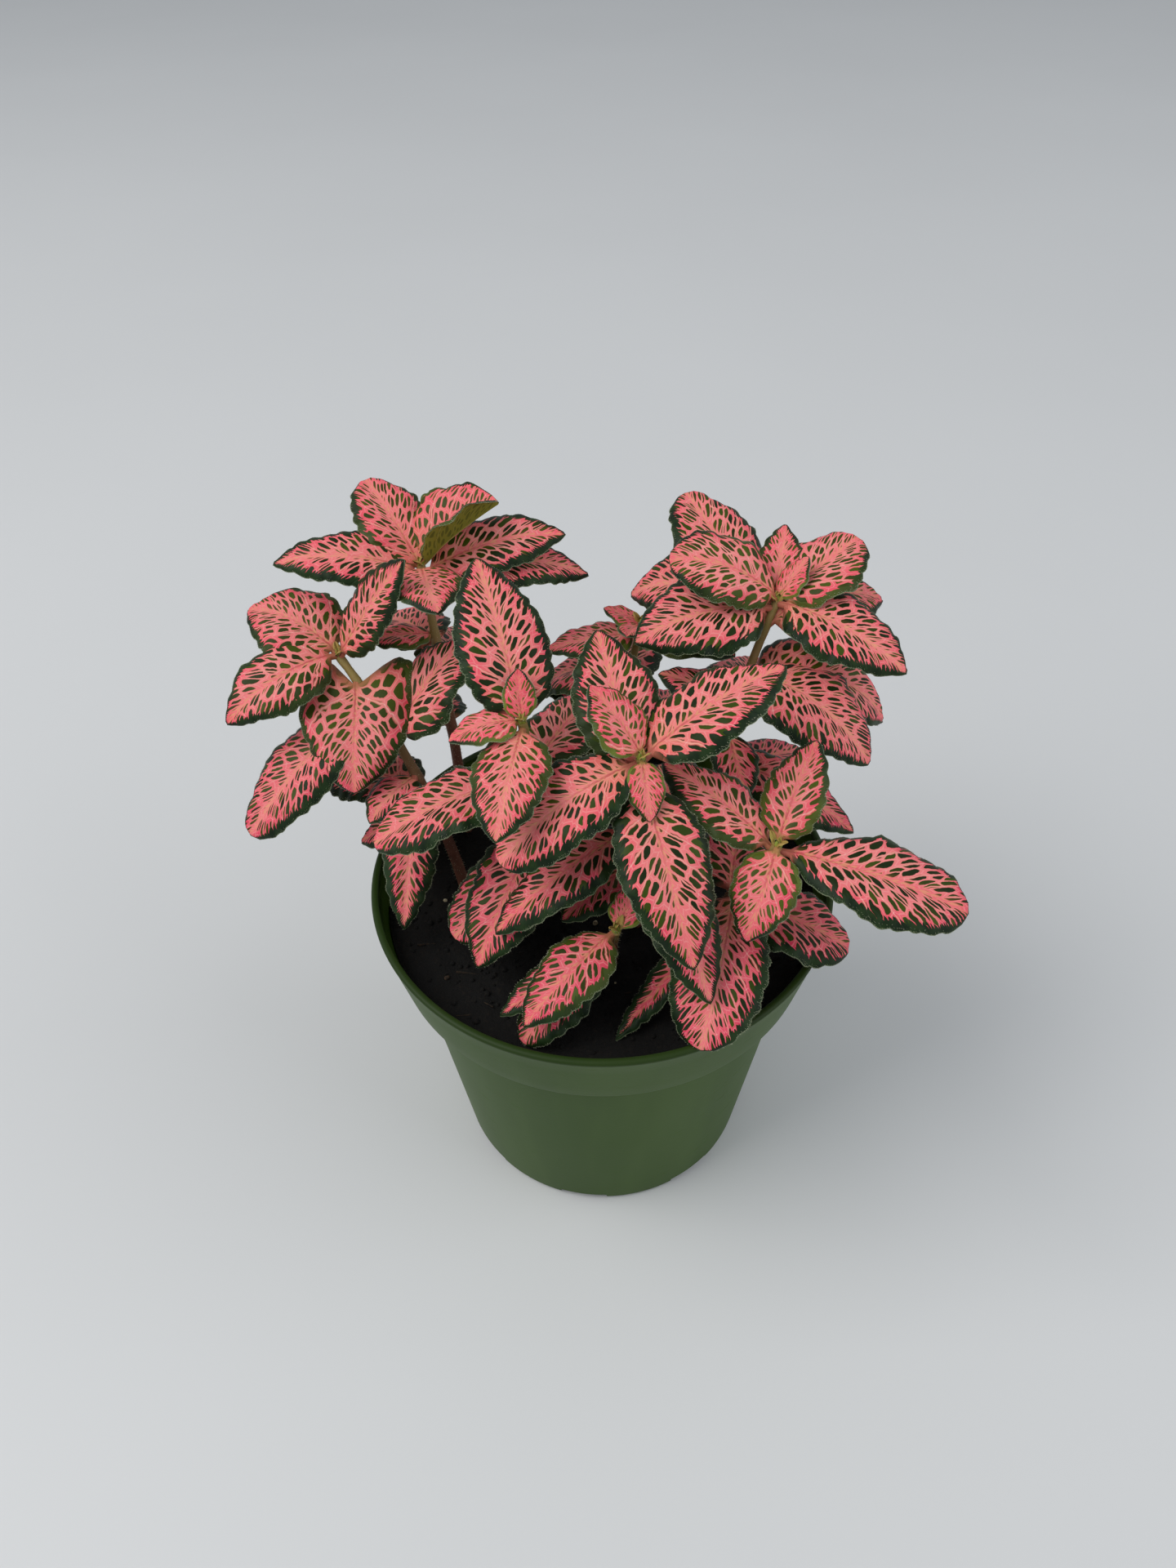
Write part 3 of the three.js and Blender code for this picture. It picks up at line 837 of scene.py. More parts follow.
LEAFY_STEMS = {
    "leafy_stem_back_left": {
        "foot": (-34, 22),
        "tip": (-41, 42, 142),
        "leaves": [
            (0.97, 128, 32, 27, 17, 30, 0, BLUNT),
            (1.00, 20, 32, 23, 21, 10, 10, FOLDED),
            (0.98, -75, 10, 26, 17, 40, 0),
            (0.97, -105, 25, 11, 7, 20, 0),
            (0.96, 10, 12, 35, 17, 45, -22),
            (0.96, -176, 8, 35, 15, 55, 22),
            (0.93, 9, -3, 40, 16, 60, -15),
            (0.74, -170, 2, 16, 10, 30, 0),
            (0.70, 130, -18, 34, 20, 45, 0),
            (0.58, 85, -14, 34, 20, 40, 0),
            (0.40, 125, -24, 33, 19, 40, 0),
        ],
    },
    "leafy_stem_left": {
        "foot": (-33, 2),
        "tip": (-60, 28, 127),
        "leaves": [
            (0.99, -7, 56, 33, 14, 10, -45),
            (1.00, -148, -16, 31, 18, 65, 20),
            (1.00, 152, 10, 27, 21, 60, 16),
            (0.90, -89, -36, 27, 26, 40, 0, HEART),
            (0.83, -141, -33, 42, 19, 30, 6, BLUNT),
            (0.66, 35, 42, 29, 21, 30, 0),
            (0.50, -125, -6, 17, 12, 40, 0),
            (0.44, 148, -14, 34, 20, 40, 0),
            (0.52, -93, -36, 37, 13, 40, 0),
            (0.36, -170, -24, 20, 14, 40, 0),
            (0.30, 35, -8, 26, 16, 40, 0),
        ],
    },
    "leafy_stem_middle_left": {
        "foot": (-12, -4),
        "tip": (-16, -6, 135),
        "leaves": [
            (1.00, 97, 55, 11, 7, 10, 0),
            (0.99, -168, -8, 16, 11, 55, 0),
            (0.96, 110, 38, 38, 19.5, 25, 0),
            (0.97, -101, -20, 27, 16, 40, 0),
            (0.72, 60, 0, 30, 17, 40, 0),
            (0.66, -163, -14, 38, 19, 50, 0, BLUNT),
            (0.42, -118, -31, 35, 19, 40, 0),
            (0.50, 112, -8, 32, 18, 40, 0),
            (0.30, -139, -23, 29, 18, 30, 0, BLUNT),
        ],
    },
    "leafy_stem_middle": {
        "foot": (8, -10),
        "tip": (8, -14, 132),
        "leaves": [
            (1.00, 139, 40, 18, 13, 20, 0),
            (1.00, -80, -42, 13, 8, 30, 0),
            (0.97, 30, 17, 37, 20, 35, 0),
            (0.97, -157, -28, 36, 19, 40, 14, BLUNT),
            (0.89, 110, 36, 32, 19, 20, 0),
            (0.62, 150, 5, 26, 16, 30, 0),
            (0.88, -72, -36, 41, 19.5, 35, 0),
            (0.55, -152, -24, 39, 16, 45, 0),
            (0.66, -67, -33, 43, 17, 30, 0),
            (0.46, 66, -4, 33, 18, 40, 0),
            (0.34, -141, -10, 22, 13, 30, 0),
            (0.30, -100, -20, 13, 9, 20, 0),
        ],
    },
    "leafy_stem_front_right": {
        "foot": (24, -18),
        "tip": (36, -22, 115),
        "leaves": [
            (1.00, 63, 34, 24, 13, 25, 0),
            (1.00, -115, -38, 21, 14, 40, 0),
            (0.95, -18, -8, 41, 22, 22, -4, PADDLE),
            (0.95, 143, 18, 30, 16, 40, 0),
            (0.46, -14, -20, 29, 20, 40, 0, BLUNT),
            (0.55, -106, -25, 36, 20, 30, 0, BLUNT),
            (0.46, 82, -4, 28, 17, 40, 0),
            (0.22, -133, -16, 35, 8, 30, 0),
        ],
    },
    "leafy_stem_back_right": {
        "foot": (24, 12),
        "tip": (40, 34, 137),
        "leaves": [
            (1.00, 31, 48, 12, 8, 10, 0),
            (0.94, 77, 30, 24, 12, 25, 0),
            (1.00, 177, 22, 28, 19, 60, 22, BLUNT),
            (0.99, 32, 22, 25, 20, 20, 0, BLUNT),
            (0.93, 122, 25, 38, 21, 20, 0, BLUNT),
            (0.99, -29, -15, 34, 20, 45, -12),
            (0.97, -165, -6, 34, 22, 50, 22),
            (0.90, 20, 0, 32, 21, 70, -15),
            (0.70, 0, -21, 40, 24, 95, -15),
            (0.72, -37, -18, 37, 25, 80, 0),
            (0.60, 163, 16, 20, 14, 40, 0),
            (0.50, -80, -15, 18, 11, 20, 0),
            (0.40, -26, -17, 36, 18, 40, 0),
            (0.55, 75, -10, 34, 20, 40, 0),
            (0.32, 35, -14, 33, 18, 40, 0),
            (0.91, 153, -4, 38, 21, 90, 30),
        ],
    },
    "leafy_stem_front": {
        "foot": (2, -22),
        "tip": (3, -29, 97),
        "leaves": [
            (0.95, -138, -21, 28, 15, 30, 0),
            (1.00, 55, 30, 12, 8, 20, 0),
            (0.80, -150, -20, 30, 11, 20, 0),
            (0.60, -136, -24, 30, 15, 35, 0, BLUNT),
        ],
    },
    "leafy_stem_back": {
        "foot": (2, 28),
        "tip": (10, 44, 124),
        "leaves": [
            (1.00, 167, 18, 10, 8, 20, 0),
            (0.99, -110, 20, 12, 8, 20, 0),
            (0.80, 168, -28, 29, 18, 40, 0),
            (0.94, -30, 6, 26, 16, 40, 0),
            (0.94, -168, -3, 23, 14, 30, 0),
            (0.66, 95, -10, 37, 21, 45, 0),
            (0.56, 132, -14, 34, 19, 40, 0),
            (0.40, 55, -12, 33, 18, 40, 0),
        ],
    },
}

# %% Stem paths
ROOT_DEPTH = 18 * MM
STEM_RADIUS = 1.6 * MM
STEM_TIP_RADIUS = 1.0 * MM
STEM_STEPS = 40
STEM_BEND_ACROSS = 0.2
STEM_BEND_UP = 0.6
JOINT_SWELLING_SHARE = 0.025


def stem_point(stem, share):
    """A point on the stem's curve, which leaves the soil upright and leans over."""
    start = Vector((*stem["foot"], SOIL_TOP / MM))
    end = Vector(stem["tip"])
    across = end - start
    bend = (STEM_BEND_ACROSS, STEM_BEND_ACROSS, STEM_BEND_UP)
    pull = start + Vector([part * way for part, way in zip(across, bend)])
    point = start * (1 - share) ** 2 + pull * 2 * share * (1 - share) + end * share**2
    return point * MM


def stem_radius(stem, share):
    """Tapers to the tip, with a swollen ring wherever leaves are joined."""
    taper = STEM_RADIUS + (STEM_TIP_RADIUS - STEM_RADIUS) * share
    away = [(share - leaf[0]) / JOINT_SWELLING_SHARE for leaf in stem["leaves"]]
    swelling = sum(math.exp(-(step**2)) for step in away)
    return taper * (0.88 + 0.16 * min(1.0, swelling))


# %% Leaf facts that aren't in the table
YOUNG_LENGTH = 12
GROWN_LENGTH = 34


def tip_leaflets(seed):
    """The two newest pairs, still small and almost upright at the growing tip."""
    turn = random.Random(seed).uniform(0, 180)
    newest = [(1.00, turn + side, 74, 2.4, 1.4, 20, 0) for side in (0, 180)]
    second = [(0.995, turn + side + 90, 50, 3.8, 2.2, 30, 0) for side in (0, 180)]
    return newest + second


def leaf_facts(leaf, seed):
    """What each leaf's growth and colours need, as attributes of its point."""
    place, heading, rise, length, width, bend, roll = leaf[:7]
    base_fullness, tip_fullness, fold, lobes = leaf[7] if len(leaf) > 7 else OVAL
    chance = random.Random(seed)
    grown = min(1, max(0, (length - YOUNG_LENGTH) / (GROWN_LENGTH - YOUNG_LENGTH)))
    return {
        "is_leaf": 1.0,
        "heading": math.radians(heading),
        "rise": math.radians(rise),
        "length": length * MM,
        "width": width * MM,
        "bend": math.radians(bend),
        "roll": math.radians(roll),
        "base_fullness": base_fullness,
        "tip_fullness": tip_fullness,
        "fold": fold,
        "lobes": lobes,
        "phase": float(heading),
        "youth": (1 - grown) * min(1, max(0, (place - 0.6) / 0.3)) + 0.5 * (length < 8),
        "seed": chance.uniform(0, 100),
        "tint": chance.random(),
        "sway": chance.uniform(-1, 1),
    }


def make_stem_seed(name, stem, seed):
    """The stem's path as a line of points, and one loose point for each leaf."""
    shares = [step / STEM_STEPS for step in range(STEM_STEPS + 1)]
    root = stem_point(stem, 0) - Vector((0, 0, ROOT_DEPTH))
    points = [root] + [stem_point(stem, share) for share in shares]
    facts = [{"girth": STEM_RADIUS, "up_stem": 0.0}]
    facts += [{"girth": stem_radius(stem, share), "up_stem": share} for share in shares]
    edges = [(index, index + 1) for index in range(len(points) - 1)]
    for number, leaf in enumerate(stem["leaves"] + tip_leaflets(seed)):
        points.append(stem_point(stem, leaf[0]))
        facts.append(leaf_facts(leaf, seed * 100 + number))
    mesh = bpy.data.meshes.new(name)
    mesh.from_pydata(points, edges, [])
    for key in [*facts[0], *facts[-1]]:
        layer = mesh.attributes.new(key, "FLOAT", "POINT")
        layer.data.foreach_set("value", [fact.get(key, 0.0) for fact in facts])
    return mesh

# %% [markdown]
# ## The leafy stems: how a leaf takes its shape
#
# All leaves follow one rule, so one Geometry Nodes tree grows them all. It starts from a
# plain grid and sets a copy on every leaf point. One side of the grid runs from the stem to
# the leaf's tip and the other runs once round the leaf, over the top and back underneath, so
# the result is a closed, lens-thin solid. The sums then bend the midrib into an arc, open the
# outline from the stalk, hollow the blade, and wave and scallop the edge.


# %% The rule for a leaf
LEAF_INPUTS = {
    "Rows": 56,
    "Columns": 32,
    "Stalk_Share": 0.08,
    "Edge_Droop": 0.35,
    "Edge_Wave": 0.08,
    "Waves_Per_Edge": 2.5,
    "Unevenness": 0.05,
    "Scallop_Length": 0.0034,
    "Scallop_Depth": 0.0012,
    "Pucker": 0.00026,
    "Sway": 0.025,
    "Blade_Half_Thickness": 0.00028,
    "Stalk_Half_Thickness": 0.0007,
    "Stalk_Half_Width": 0.0008,
    "Tip_Half_Width": 0.00025,
}
SIDE_VEIN_SPACING = 4.4
THINNER_BELOW_LENGTH = 0.022


def leaf_blanks(tree, inputs):
    """A flat grid on every leaf point, with its own along and turn from 0 to 1."""
    grid = add_node(
        tree,
        "GeometryNodeMeshGrid",
        {
            "Size X": 1.0,
            "Size Y": 1.0,
            "Vertices X": inputs["Rows"] + 1,
            "Vertices Y": inputs["Columns"] + 1,
        },
    )
    position = own_place(tree)
    x, y, _ = parts(position)
    blank = store(store(Wire(grid.outputs[0]), "along", x + 0.5), "turn", y + 0.5)
    seats = store(inputs["Geometry"], "seat", position, "FLOAT_VECTOR")
    return copies(seats, blank, Selection=attribute(tree, "is_leaf").above(0.5))


def side_vein(along_mm, reach_mm, length_mm):
    """The same number all the way along one side vein, in millimetres.

    Side veins leave the midrib at a narrow angle and open out towards the edge, and they
    spread wider near the stalk than near the tip.
    """
    share = along_mm / length_mm
    narrow_start = 1.0 - 1.0 / (reach_mm * 0.45 + 1.0)
    return along_mm - reach_mm * share.between(0.15, 1.5) - narrow_start * 3.2


def far_from_lines(value, spacing):
    """0 on evenly spaced lines, growing at the same rate as the value between them."""
    return abs((value / spacing).math("FRACT") - 0.5) * spacing


def grow_leaves(tree, inputs):
    """Turns the blanks into leaves. Gives closed solids with the facts that colours need."""
    blanks = leaf_blanks(tree, inputs)
    along, turn = attribute(tree, "along"), attribute(tree, "turn") * math.tau
    across, face = turn.cos(), turn.sin()
    length, width = attribute(tree, "length"), attribute(tree, "width")
    phase, seed = attribute(tree, "phase"), attribute(tree, "seed")
    rise, bend, roll = (attribute(tree, name) for name in ("rise", "bend", "roll"))

    share = ((along - inputs["Stalk_Share"]) / (1.0 - inputs["Stalk_Share"])).highest(0.0)
    base, tip = attribute(tree, "base_fullness"), attribute(tree, "tip_fullness")
    widest = base / (base + tip)
    blade = (share / widest) ** base * ((1.0 - share).highest(0.0) / (1.0 - widest)) ** tip
    size = (length / THINNER_BELOW_LENGTH).lowest(1.0)
    stalk = share.between(inputs["Stalk_Half_Width"], inputs["Tip_Half_Width"]) * size
    edge = across.sign()
    bumps = noise(vector(along * length * 260.0, edge * 7.0, seed), 1.0, 2.0, 0.6) - 0.5
    jitter = noise(vector(along * length * 110.0, edge * 5.0, seed + 20.0), 1.0, 1.0) * 5.0
    scallop_turn = along * length * math.pi / inputs["Scallop_Length"]
    scallops = abs((scallop_turn + jitter + seed + edge).sin()) - 0.64
    outline = width * 0.5 * blade * (bumps * inputs["Unevenness"] * 4.0 + 1.0)
    outline = outline + scallops * inputs["Scallop_Depth"] * size * blade.lowest(0.5)
    outline = outline.highest(stalk)
    open_ends = along.above(0.5 / inputs["Rows"]) * along.below(1.0 - 0.5 / inputs["Rows"])
    half = outline * open_ends

    reach = abs(across)
    waves = (along * math.tau * inputs["Waves_Per_Edge"] + edge + phase).sin()
    ripple = noise(vector(along * length * 160.0, edge * 3.0, seed + 50.0), 1.0, 1.0) - 0.5
    edge_lift = reach**3.0 * (waves * inputs["Edge_Wave"] + ripple * inputs["Edge_Wave"] * 2.4)
    cup = reach * attribute(tree, "fold") - reach**3.0 * inputs["Edge_Droop"] + edge_lift
    along_mm = share * length * (1.0 - inputs["Stalk_Share"]) * 1000.0
    across_mm = half * across * 1000.0
    length_mm = length * (1.0 - inputs["Stalk_Share"]) * 1000.0
    vein = side_vein(along_mm, abs(across_mm), length_mm)
    pucker = far_from_lines(vein + seed, SIDE_VEIN_SPACING) * reach * (1.0 - reach) * 2.0
    blade_share = share.ramp(0.0, 0.25)
    thickness = blade_share.between(inputs["Stalk_Half_Thickness"], inputs["Blade_Half_Thickness"])
    thickness = thickness * size
    skin = pucker * inputs["Pucker"] * blade_share + face * thickness
    lift = half * cup + skin * open_ends

    start = rise + bend * 0.5
    angle = start - bend * along
    forward = length * (start.sin() - angle.sin()) / bend
    upward = length * (angle.cos() - start.cos()) / bend
    sideways = half * across
    above_rib = roll.sin() * sideways + roll.cos() * lift
    sway = attribute(tree, "sway") * inputs["Sway"] * length * (along * math.pi).sin()
    setback = attribute(tree, "lobes") * half * reach**2.0 * (1.0 - share) ** 3.0
    local = vector(
        forward - angle.sin() * above_rib - angle.cos() * setback,
        roll.sin() * lift - roll.cos() * sideways + sway,
        upward + angle.cos() * above_rib - angle.sin() * setback,
    )
    outward = vector(0.5, -edge, (face * 0.4))
    heading = attribute(tree, "heading")
    turned_local, turned_outward = (
        geometry_node("ShaderNodeVectorRotate", {"Vector": item, "Angle": heading},
                      rotation_type="Z_AXIS")
        for item in (local, outward)
    )
    seat = attribute(tree, "seat", "FLOAT_VECTOR")
    place = add_node(tree, "ShaderNodeVectorMath", {0: turned_local, 1: seat}, operation="ADD")
    leaves = store(blanks, "leaf_plan",
                   vector(along_mm, across_mm, half * (1.0 - reach) * 1000.0), "FLOAT_VECTOR")
    leaves = store(leaves, "hair_way", turned_outward, "FLOAT_VECTOR")
    leaves = store(leaves, "kind", face.above(0.0) + 1.0)
    leaves = store(leaves, "rim", reach * share.above(0.02) * reach.above(0.98))
    leaves = geometry_node(
        "GeometryNodeSetPosition", {"Geometry": leaves, "Position": Wire(place.outputs[0])}
    )
    return geometry_node("GeometryNodeMergeByDistance", {"Geometry": leaves, "Distance": 1e-6})


# %% The stem, its bud and its hairs
STEM_INPUTS = {
    "Stem_Sides": 14,
    "Bud_Size": 0.0009,
    "Stem_Hair_Density": 1200000.0,
    "Rim_Hair_Density": 7000000.0,
    "Stem_Hair_Length": 0.0006,
    "Rim_Hair_Length": 0.00035,
    "Hair_Radius": 0.00003,
    "Seed": 7,
}


def grow_stem(tree, inputs):
    """A tapered tube along the path, with both ends closed."""
    path = geometry_node("GeometryNodeMeshToCurve", {"Mesh": inputs["Geometry"]})
    ring = geometry_node(
        "GeometryNodeCurvePrimitiveCircle", {"Resolution": inputs["Stem_Sides"], "Radius": 1.0}
    )
    tube = geometry_node(
        "GeometryNodeCurveToMesh",
        {
            "Curve": path,
            "Profile Curve": ring,
            "Scale": attribute(tree, "girth"),
            "Fill Caps": True,
        },
    )
    return tube


def grow_bud(tree, inputs):
    """The knot of unopened leaves at the growing tip."""
    place = own_place(tree)
    x, y, z = parts(place)
    fold = (abs(x) * 4.0).lowest(1.0).between(0.7, 1.0)
    pointed = (1.0 - z.ramp(-0.2, 1.3) * 0.8) * noise(place, 2.4).between(0.8, 1.2)
    shape = geometry_node(
        "GeometryNodeSetPosition",
        {
            "Geometry": ball(tree, 4),
            "Position": vector(x * pointed, y * pointed * fold * 0.8, z * 1.7 + 0.6),
        },
    )
    size = inputs["Bud_Size"]
    at_tip = attribute(tree, "up_stem").above(0.999)
    return copies(inputs["Geometry"], shape, Selection=at_tip, Scale=vector(size, size, size))


def grow_hairs(tree, inputs, surface, density, length, way, seed):
    """Fine tapered hairs on a surface, pointing the given way."""
    spread = add_node(
        tree,
        "GeometryNodeDistributePointsOnFaces",
        {"Mesh": surface, "Density": density, "Seed": seed},
    )
    hair = add_node(
        tree,
        "GeometryNodeMeshCone",
        {"Vertices": 3, "Radius Top": 0.0, "Radius Bottom": inputs["Hair_Radius"], "Depth": length},
    )
    points = Wire(spread.outputs["Points"])
    x, y, z = parts(Wire(spread.outputs["Normal"]) if way is None else way)
    loose = [random_number(tree, -0.35, 0.35, seed + step) for step in (1, 2, 3)]
    turn = geometry_node(
        "FunctionNodeAlignRotationToVector",
        {"Vector": vector(x + loose[0], y + loose[1], z + loose[2])},
    )
    return copies(points, Wire(hair.outputs[0]), Rotation=turn)


def make_stem_tree(stem_skin, leaf_under, leaf_upper, bud_green, hair_pale):
    tree, inputs = new_tree("grow_leafy_stem", **LEAF_INPUTS, **STEM_INPUTS)
    stem, bud = grow_stem(tree, inputs), grow_bud(tree, inputs)
    leaves = grow_leaves(tree, inputs)
    seed = inputs["Seed"]
    stem_hairs = grow_hairs(
        tree, inputs, stem, inputs["Stem_Hair_Density"] * attribute(tree, "up_stem").above(0.05),
        inputs["Stem_Hair_Length"], None, seed,
    )
    bud_hairs = grow_hairs(
        tree, inputs, bud, inputs["Stem_Hair_Density"], inputs["Stem_Hair_Length"], None, seed + 10
    )
    rim_hairs = grow_hairs(
        tree, inputs, leaves, inputs["Rim_Hair_Density"] * attribute(tree, "rim"),
        inputs["Rim_Hair_Length"], attribute(tree, "hair_way", "FLOAT_VECTOR"), seed + 20,
    )
    joined = tree.nodes.new("GeometryNodeJoinGeometry")
    numbered = ((stem, 0.0), (bud, 3.0), (stem_hairs, 4.0), (bud_hairs, 4.0), (rim_hairs, 4.0))
    for part, number in numbered:
        tree.links.new(store(part, "kind", number).socket, joined.inputs[0])
    tree.links.new(leaves.socket, joined.inputs[0])
    kind = attribute(tree, "kind")
    finish_tree(
        tree,
        Wire(joined.outputs[0]),
        (stem_skin, None),
        (leaf_under, kind.above(0.5)),
        (leaf_upper, kind.above(1.25)),
        (bud_green, kind.above(2.5)),
        (hair_pale, kind.above(3.5)),
    )
    return tree


# %% [markdown]
# ## The leafy stems: how a leaf takes its colours
#
# The upper side is a net of pink veins over dark green. The green shows in small long
# islands between the side veins and as a band round the edge, which the last veinlets cut
# into. Every leaf carries its own plan: how far a point is along the blade, across it and
# from its edge, in millimetres. From this plan come lines that run the way the veins run, a
# Voronoi pattern stretched along them gives the islands, and the distance to the edge gives
# the band, so the pattern follows each leaf however it bends.


# %% Leaf plan and vein net
def fact(tree, name):
    """A named attribute, read in a material."""
    node = add_node(tree, "ShaderNodeAttribute", attribute_name=name)
    return Wire(node.outputs["Fac"])


def leaf_plan(tree):
    """Millimetres along the blade, across it to either side, and in from its edge."""
    node = add_node(tree, "ShaderNodeAttribute", attribute_name="leaf_plan")
    return parts(Wire(node.outputs["Vector"]))


def voronoi(place, feature, randomness=0.85):
    node = add_node(
        place.tree,
        "ShaderNodeTexVoronoi",
        {"Vector": place, "Scale": 1.0, "Randomness": randomness},
        voronoi_dimensions="2D",
        feature=feature,
    )
    return node


def vein_net(tree):
    """Masks from 0 to 1 for the islands, their pale rims, the veins and the edge band."""
    along, across, inward = leaf_plan(tree)
    youth, seed, tint = (fact(tree, name) for name in ("youth", "seed", "tint"))
    length_mm = fact(tree, "length") * (1.0 - LEAF_INPUTS["Stalk_Share"]) * 1000.0
    reach = abs(across)
    share = along / length_mm
    side = side_vein(along, reach, length_mm)
    run = along * 0.75 + reach * 0.65
    shift = seed * 1.7 + across.sign() * 3.1
    wander = noise(vector(along * 0.5, across * 0.5, seed), 1.0, 2.0) - 0.5

    island_width = youth.between(1.3, 0.7) * tint.between(1.1, 0.85)
    island_length = youth.between(4.1, 2.2) * tint.between(1.1, 0.9)
    cells = vector(
        side * 0.7 / island_width + wander * 0.5 + shift, run / island_length + shift * 0.37, 0.0
    )
    border = Wire(voronoi(cells, "DISTANCE_TO_EDGE").outputs["Distance"])
    nearest = voronoi(cells, "F1")
    from_middle = Wire(nearest.outputs["Distance"])
    cell_chance, cell_tone, _ = parts(Wire(nearest.outputs["Color"]))
    rounded_border = border - (from_middle - 0.3).highest(0.0) * 0.5

    near_rib = 1.0 - reach.ramp(0.2, 2.2)
    least_gap = youth.between(0.03, 0.11) + tint * 0.05
    threshold = near_rib * 0.1 + cell_chance * cell_chance * 0.13 + least_gap
    main_vein = far_from_lines(side + seed + wander, SIDE_VEIN_SPACING)
    open_ground = main_vein.ramp(0.12, 0.4) * reach.ramp(0.35, 0.75)
    island = rounded_border.ramp(threshold - 0.02, threshold + 0.03) * open_ground
    halo = rounded_border.ramp(threshold - 0.1, threshold - 0.01) * (1.0 - island)

    spike = 1.0 - far_from_lines(side + wander * 1.2 + shift, 0.85) * 2.35
    spike_size = noise(vector(side * 0.55 + shift, seed, 0.0), 1.0, 1.0).ramp(0.3, 0.7, "LINEAR")
    band_width = youth.between(1.9, 1.1) * length_mm.ramp(8.0, 30.0).between(0.55, 1.0)
    band_width = band_width * share.ramp(0.85, 1.0).between(1.0, 0.5)
    band_start = band_width * (1.1 - (spike.highest(0.0) ** 1.7) * spike_size.between(0.25, 0.65))
    band = (1.0 - inward.ramp(band_start - 0.08, band_start + 0.08)) * share.ramp(0.0, 0.06)
    hair_edge = (1.0 - inward.ramp(0.05, 0.18)) * share.ramp(0.0, 0.06)
    rib = (1.0 - (reach - 0.08).ramp(0.0, 0.3)) * (1.0 - share.ramp(0.35, 0.9))
    line = (1.0 - main_vein.ramp(0.0, 0.2)) * reach.ramp(0.5, 1.5)
    thread = 1.0 - border.ramp(0.0, 0.06)
    return {
        "along": along, "across": across, "inward": inward, "share": share,
        "youth": youth, "tint": tint, "seed": seed, "cell_tone": cell_tone,
        "island": island, "halo": halo, "band": band, "hair_edge": hair_edge,
        "near_rib": near_rib, "rib": rib, "line": line, "thread": thread,
    }


# %% Leaf materials
# Heights between which the painted shade on low leaves fades out.
PAINTED_SHADE_DEEPEST_BELOW = 0.092
PAINTED_SHADE_ENDS_ABOVE = 0.125


def make_leaf_upper():
    """Hot pink at the edge and softer inside, over dark green, with painted shade making it darker
    and deeper low in the plant.
    """
    material, tree, shader = new_material("leaf_upper_pink_net", Specular_IOR_Level=0.16)
    net = vein_net(tree)
    mottle = noise(vector(net["along"] * 0.35, net["across"] * 0.35, net["seed"]), 1.0, 3.0)
    # Painted shade: leaves low in the plant, under the others, get a darker, deeper pink.
    height = parts(object_place(tree))[2]
    low = 1.0 - height.ramp(PAINTED_SHADE_DEEPEST_BELOW, PAINTED_SHADE_ENDS_ABOVE)
    hot = mixed(low, paint(236, 82, 102), paint(218, 54, 90))
    soft = mixed(net["tint"], paint(241, 138, 136), paint(237, 114, 118))
    soft = mixed(low * 0.8, soft, paint(230, 92, 110))
    inner = (net["inward"] + mottle * 4.0 - 2.0).ramp(0.8, 6.0)
    along_rib = mixed(net["tint"], paint(234, 84, 100), paint(240, 148, 138))
    flush = (1.0 - net["share"].ramp(0.0, 0.35)) * net["tint"].between(0.1, 0.6)
    pink = coated(
        mixed(inner, hot, soft),
        (net["near_rib"] * 0.5, along_rib),
        (flush, paint(216, 134, 100)),
        # Pale lines on the veins and round the islands: partly the veins' own paler colour, partly
        # painted highlight on their raised ridges.
        (net["line"] * 0.6 + net["thread"] * 0.35, paint(250, 184, 174)),
        (net["rib"] * (1.0 - net["share"].ramp(0.1, 0.6)) * 0.7, paint(178, 66, 68)),
        (net["halo"] * (net["near_rib"] * 0.25 + mottle * 0.4), paint(224, 176, 122)),
    )
    dark = coated(
        mixed(net["cell_tone"].ramp(0.3, 1.0), paint(24, 38, 8), paint(60, 76, 12)),
        (net["youth"] * 0.6, paint(104, 112, 34)),
        (net["near_rib"] * 0.5, paint(112, 92, 40)),
    )
    edge_dark = mixed(mottle.ramp(0.35, 0.65), paint(18, 34, 16), paint(34, 54, 24))
    edge_young = net["youth"] * (1.0 - net["share"].ramp(0.2, 0.9)) * 0.8
    stalk = (1.0 - net["share"].ramp(0.0, 0.06)) * 0.85
    tender = (net["youth"] - 1.0).ramp(0.0, 0.4)
    colour = coated(
        pink,
        (net["island"], dark),
        (net["band"], mixed(edge_young, edge_dark, paint(128, 140, 56))),
        (net["hair_edge"] * 0.5, paint(140, 152, 120)),
        (stalk, mixed(net["youth"], paint(176, 100, 82), paint(158, 138, 70))),
        (tender, mixed(mottle, paint(146, 146, 62), paint(190, 140, 92))),
    )
    feed(shader.inputs["Base Color"], colour)
    green = net["island"].highest(net["band"])
    skin = noise(vector(net["along"], net["across"], net["seed"]), 6.0, 2.0)
    feed(shader.inputs["Roughness"], green.between(0.56, 0.46) + (skin - 0.5) * 0.2)
    relief = green * 0.6 + skin * 0.25 - net["rib"] * 0.6 - net["line"] * 0.4
    set_bump(shader, relief, 0.5, 0.00025)
    return material


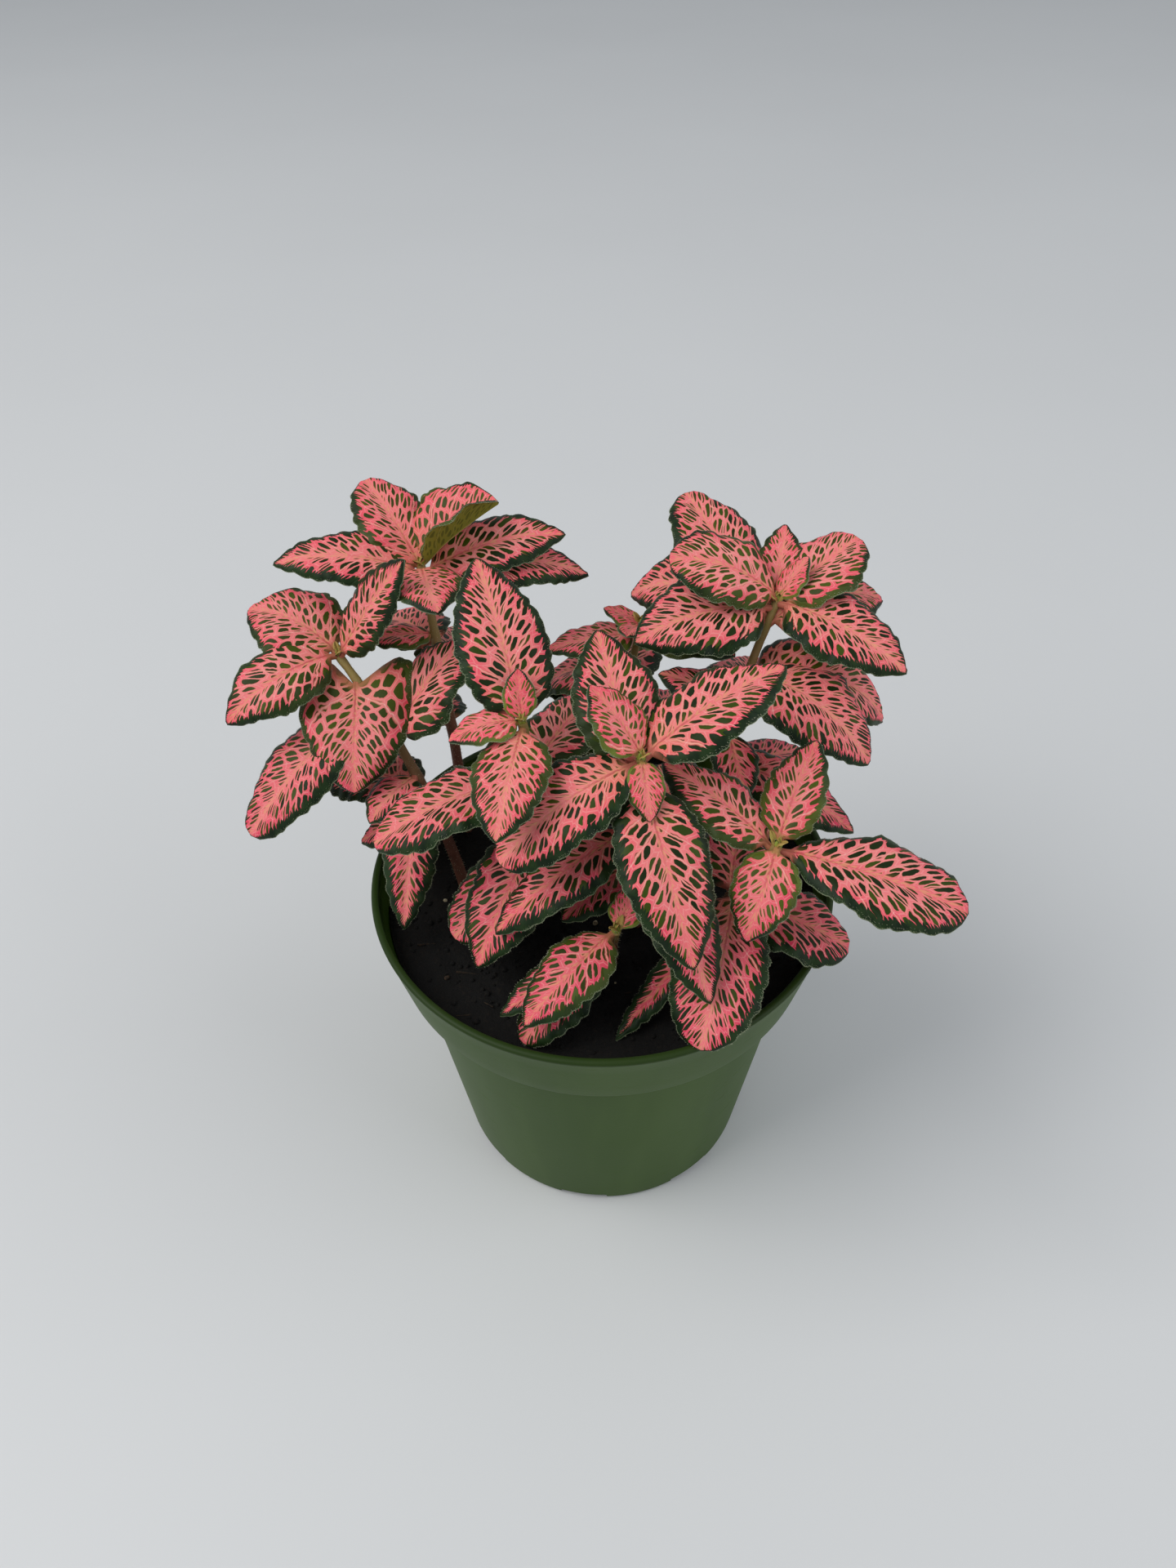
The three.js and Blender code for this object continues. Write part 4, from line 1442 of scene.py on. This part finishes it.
def make_leaf_under():
    """Dull: brownish pink with the islands and the band showing through as olive."""
    material, tree, shader = new_material(
        "leaf_under_pale", Specular_IOR_Level=0.25, Roughness=0.65
    )
    net = vein_net(tree)
    pale = mixed(net["tint"], paint(178, 112, 92), paint(146, 114, 68))
    old = mixed(net["island"] * 0.6, pale, paint(104, 106, 52))
    young = mixed(net["island"] * 0.8, paint(132, 140, 46), paint(78, 92, 24))
    colour = coated(
        mixed(net["youth"].ramp(0.1, 0.6), old, young),
        (net["line"] * 0.6, paint(160, 160, 84)),
        (net["band"] * 0.9, paint(62, 78, 34)),
        (net["rib"], paint(190, 168, 104)),
    )
    feed(shader.inputs["Base Color"], colour)
    set_bump(shader, net["rib"] + net["line"] * 0.6, 0.6, 0.0003)
    return material


def make_stem_skin():
    material, tree, shader = new_material("stem_skin", Specular_IOR_Level=0.3, Roughness=0.6)
    place = object_place(tree)
    up = fact(tree, "up_stem")
    streak = noise(place, 500.0, 3.0)
    low = mixed(streak, paint(86, 52, 40), paint(126, 78, 60))
    high = mixed(streak, paint(126, 120, 54), paint(160, 128, 84))
    feed(shader.inputs["Base Color"], mixed(up.ramp(0.3, 0.95), low, high))
    set_bump(shader, streak, 0.5, 0.0002)
    return material


def make_bud_green():
    material, tree, shader = new_material("bud_green", Specular_IOR_Level=0.3, Roughness=0.6)
    streak = noise(object_place(tree), 700.0, 3.0)
    feed(shader.inputs["Base Color"], mixed(streak, paint(104, 124, 36), paint(164, 170, 74)))
    set_bump(shader, streak, 0.5, 0.0002)
    return material


def make_hair_pale():
    material, tree, shader = new_material("hair_pale", Specular_IOR_Level=0.3, Roughness=0.6)
    streak = noise(object_place(tree), 300.0, 2.0)
    feed(shader.inputs["Base Color"], mixed(streak, paint(150, 156, 122), paint(206, 204, 176)))
    return material


# %% Grow every leafy stem
leafy_stem_tree = make_stem_tree(
    make_stem_skin(), make_leaf_under(), make_leaf_upper(), make_bud_green(), make_hair_pale()
)
for number, (node, stem) in enumerate(LEAFY_STEMS.items()):
    name = node.replace("leafy_stem", "nerve_plant_stem")
    piece = new_object(name, make_stem_seed(name, stem, number))
    grow(piece, leafy_stem_tree, Seed=number + 1)
    shade(piece.data, 70)
    declare(piece, node)
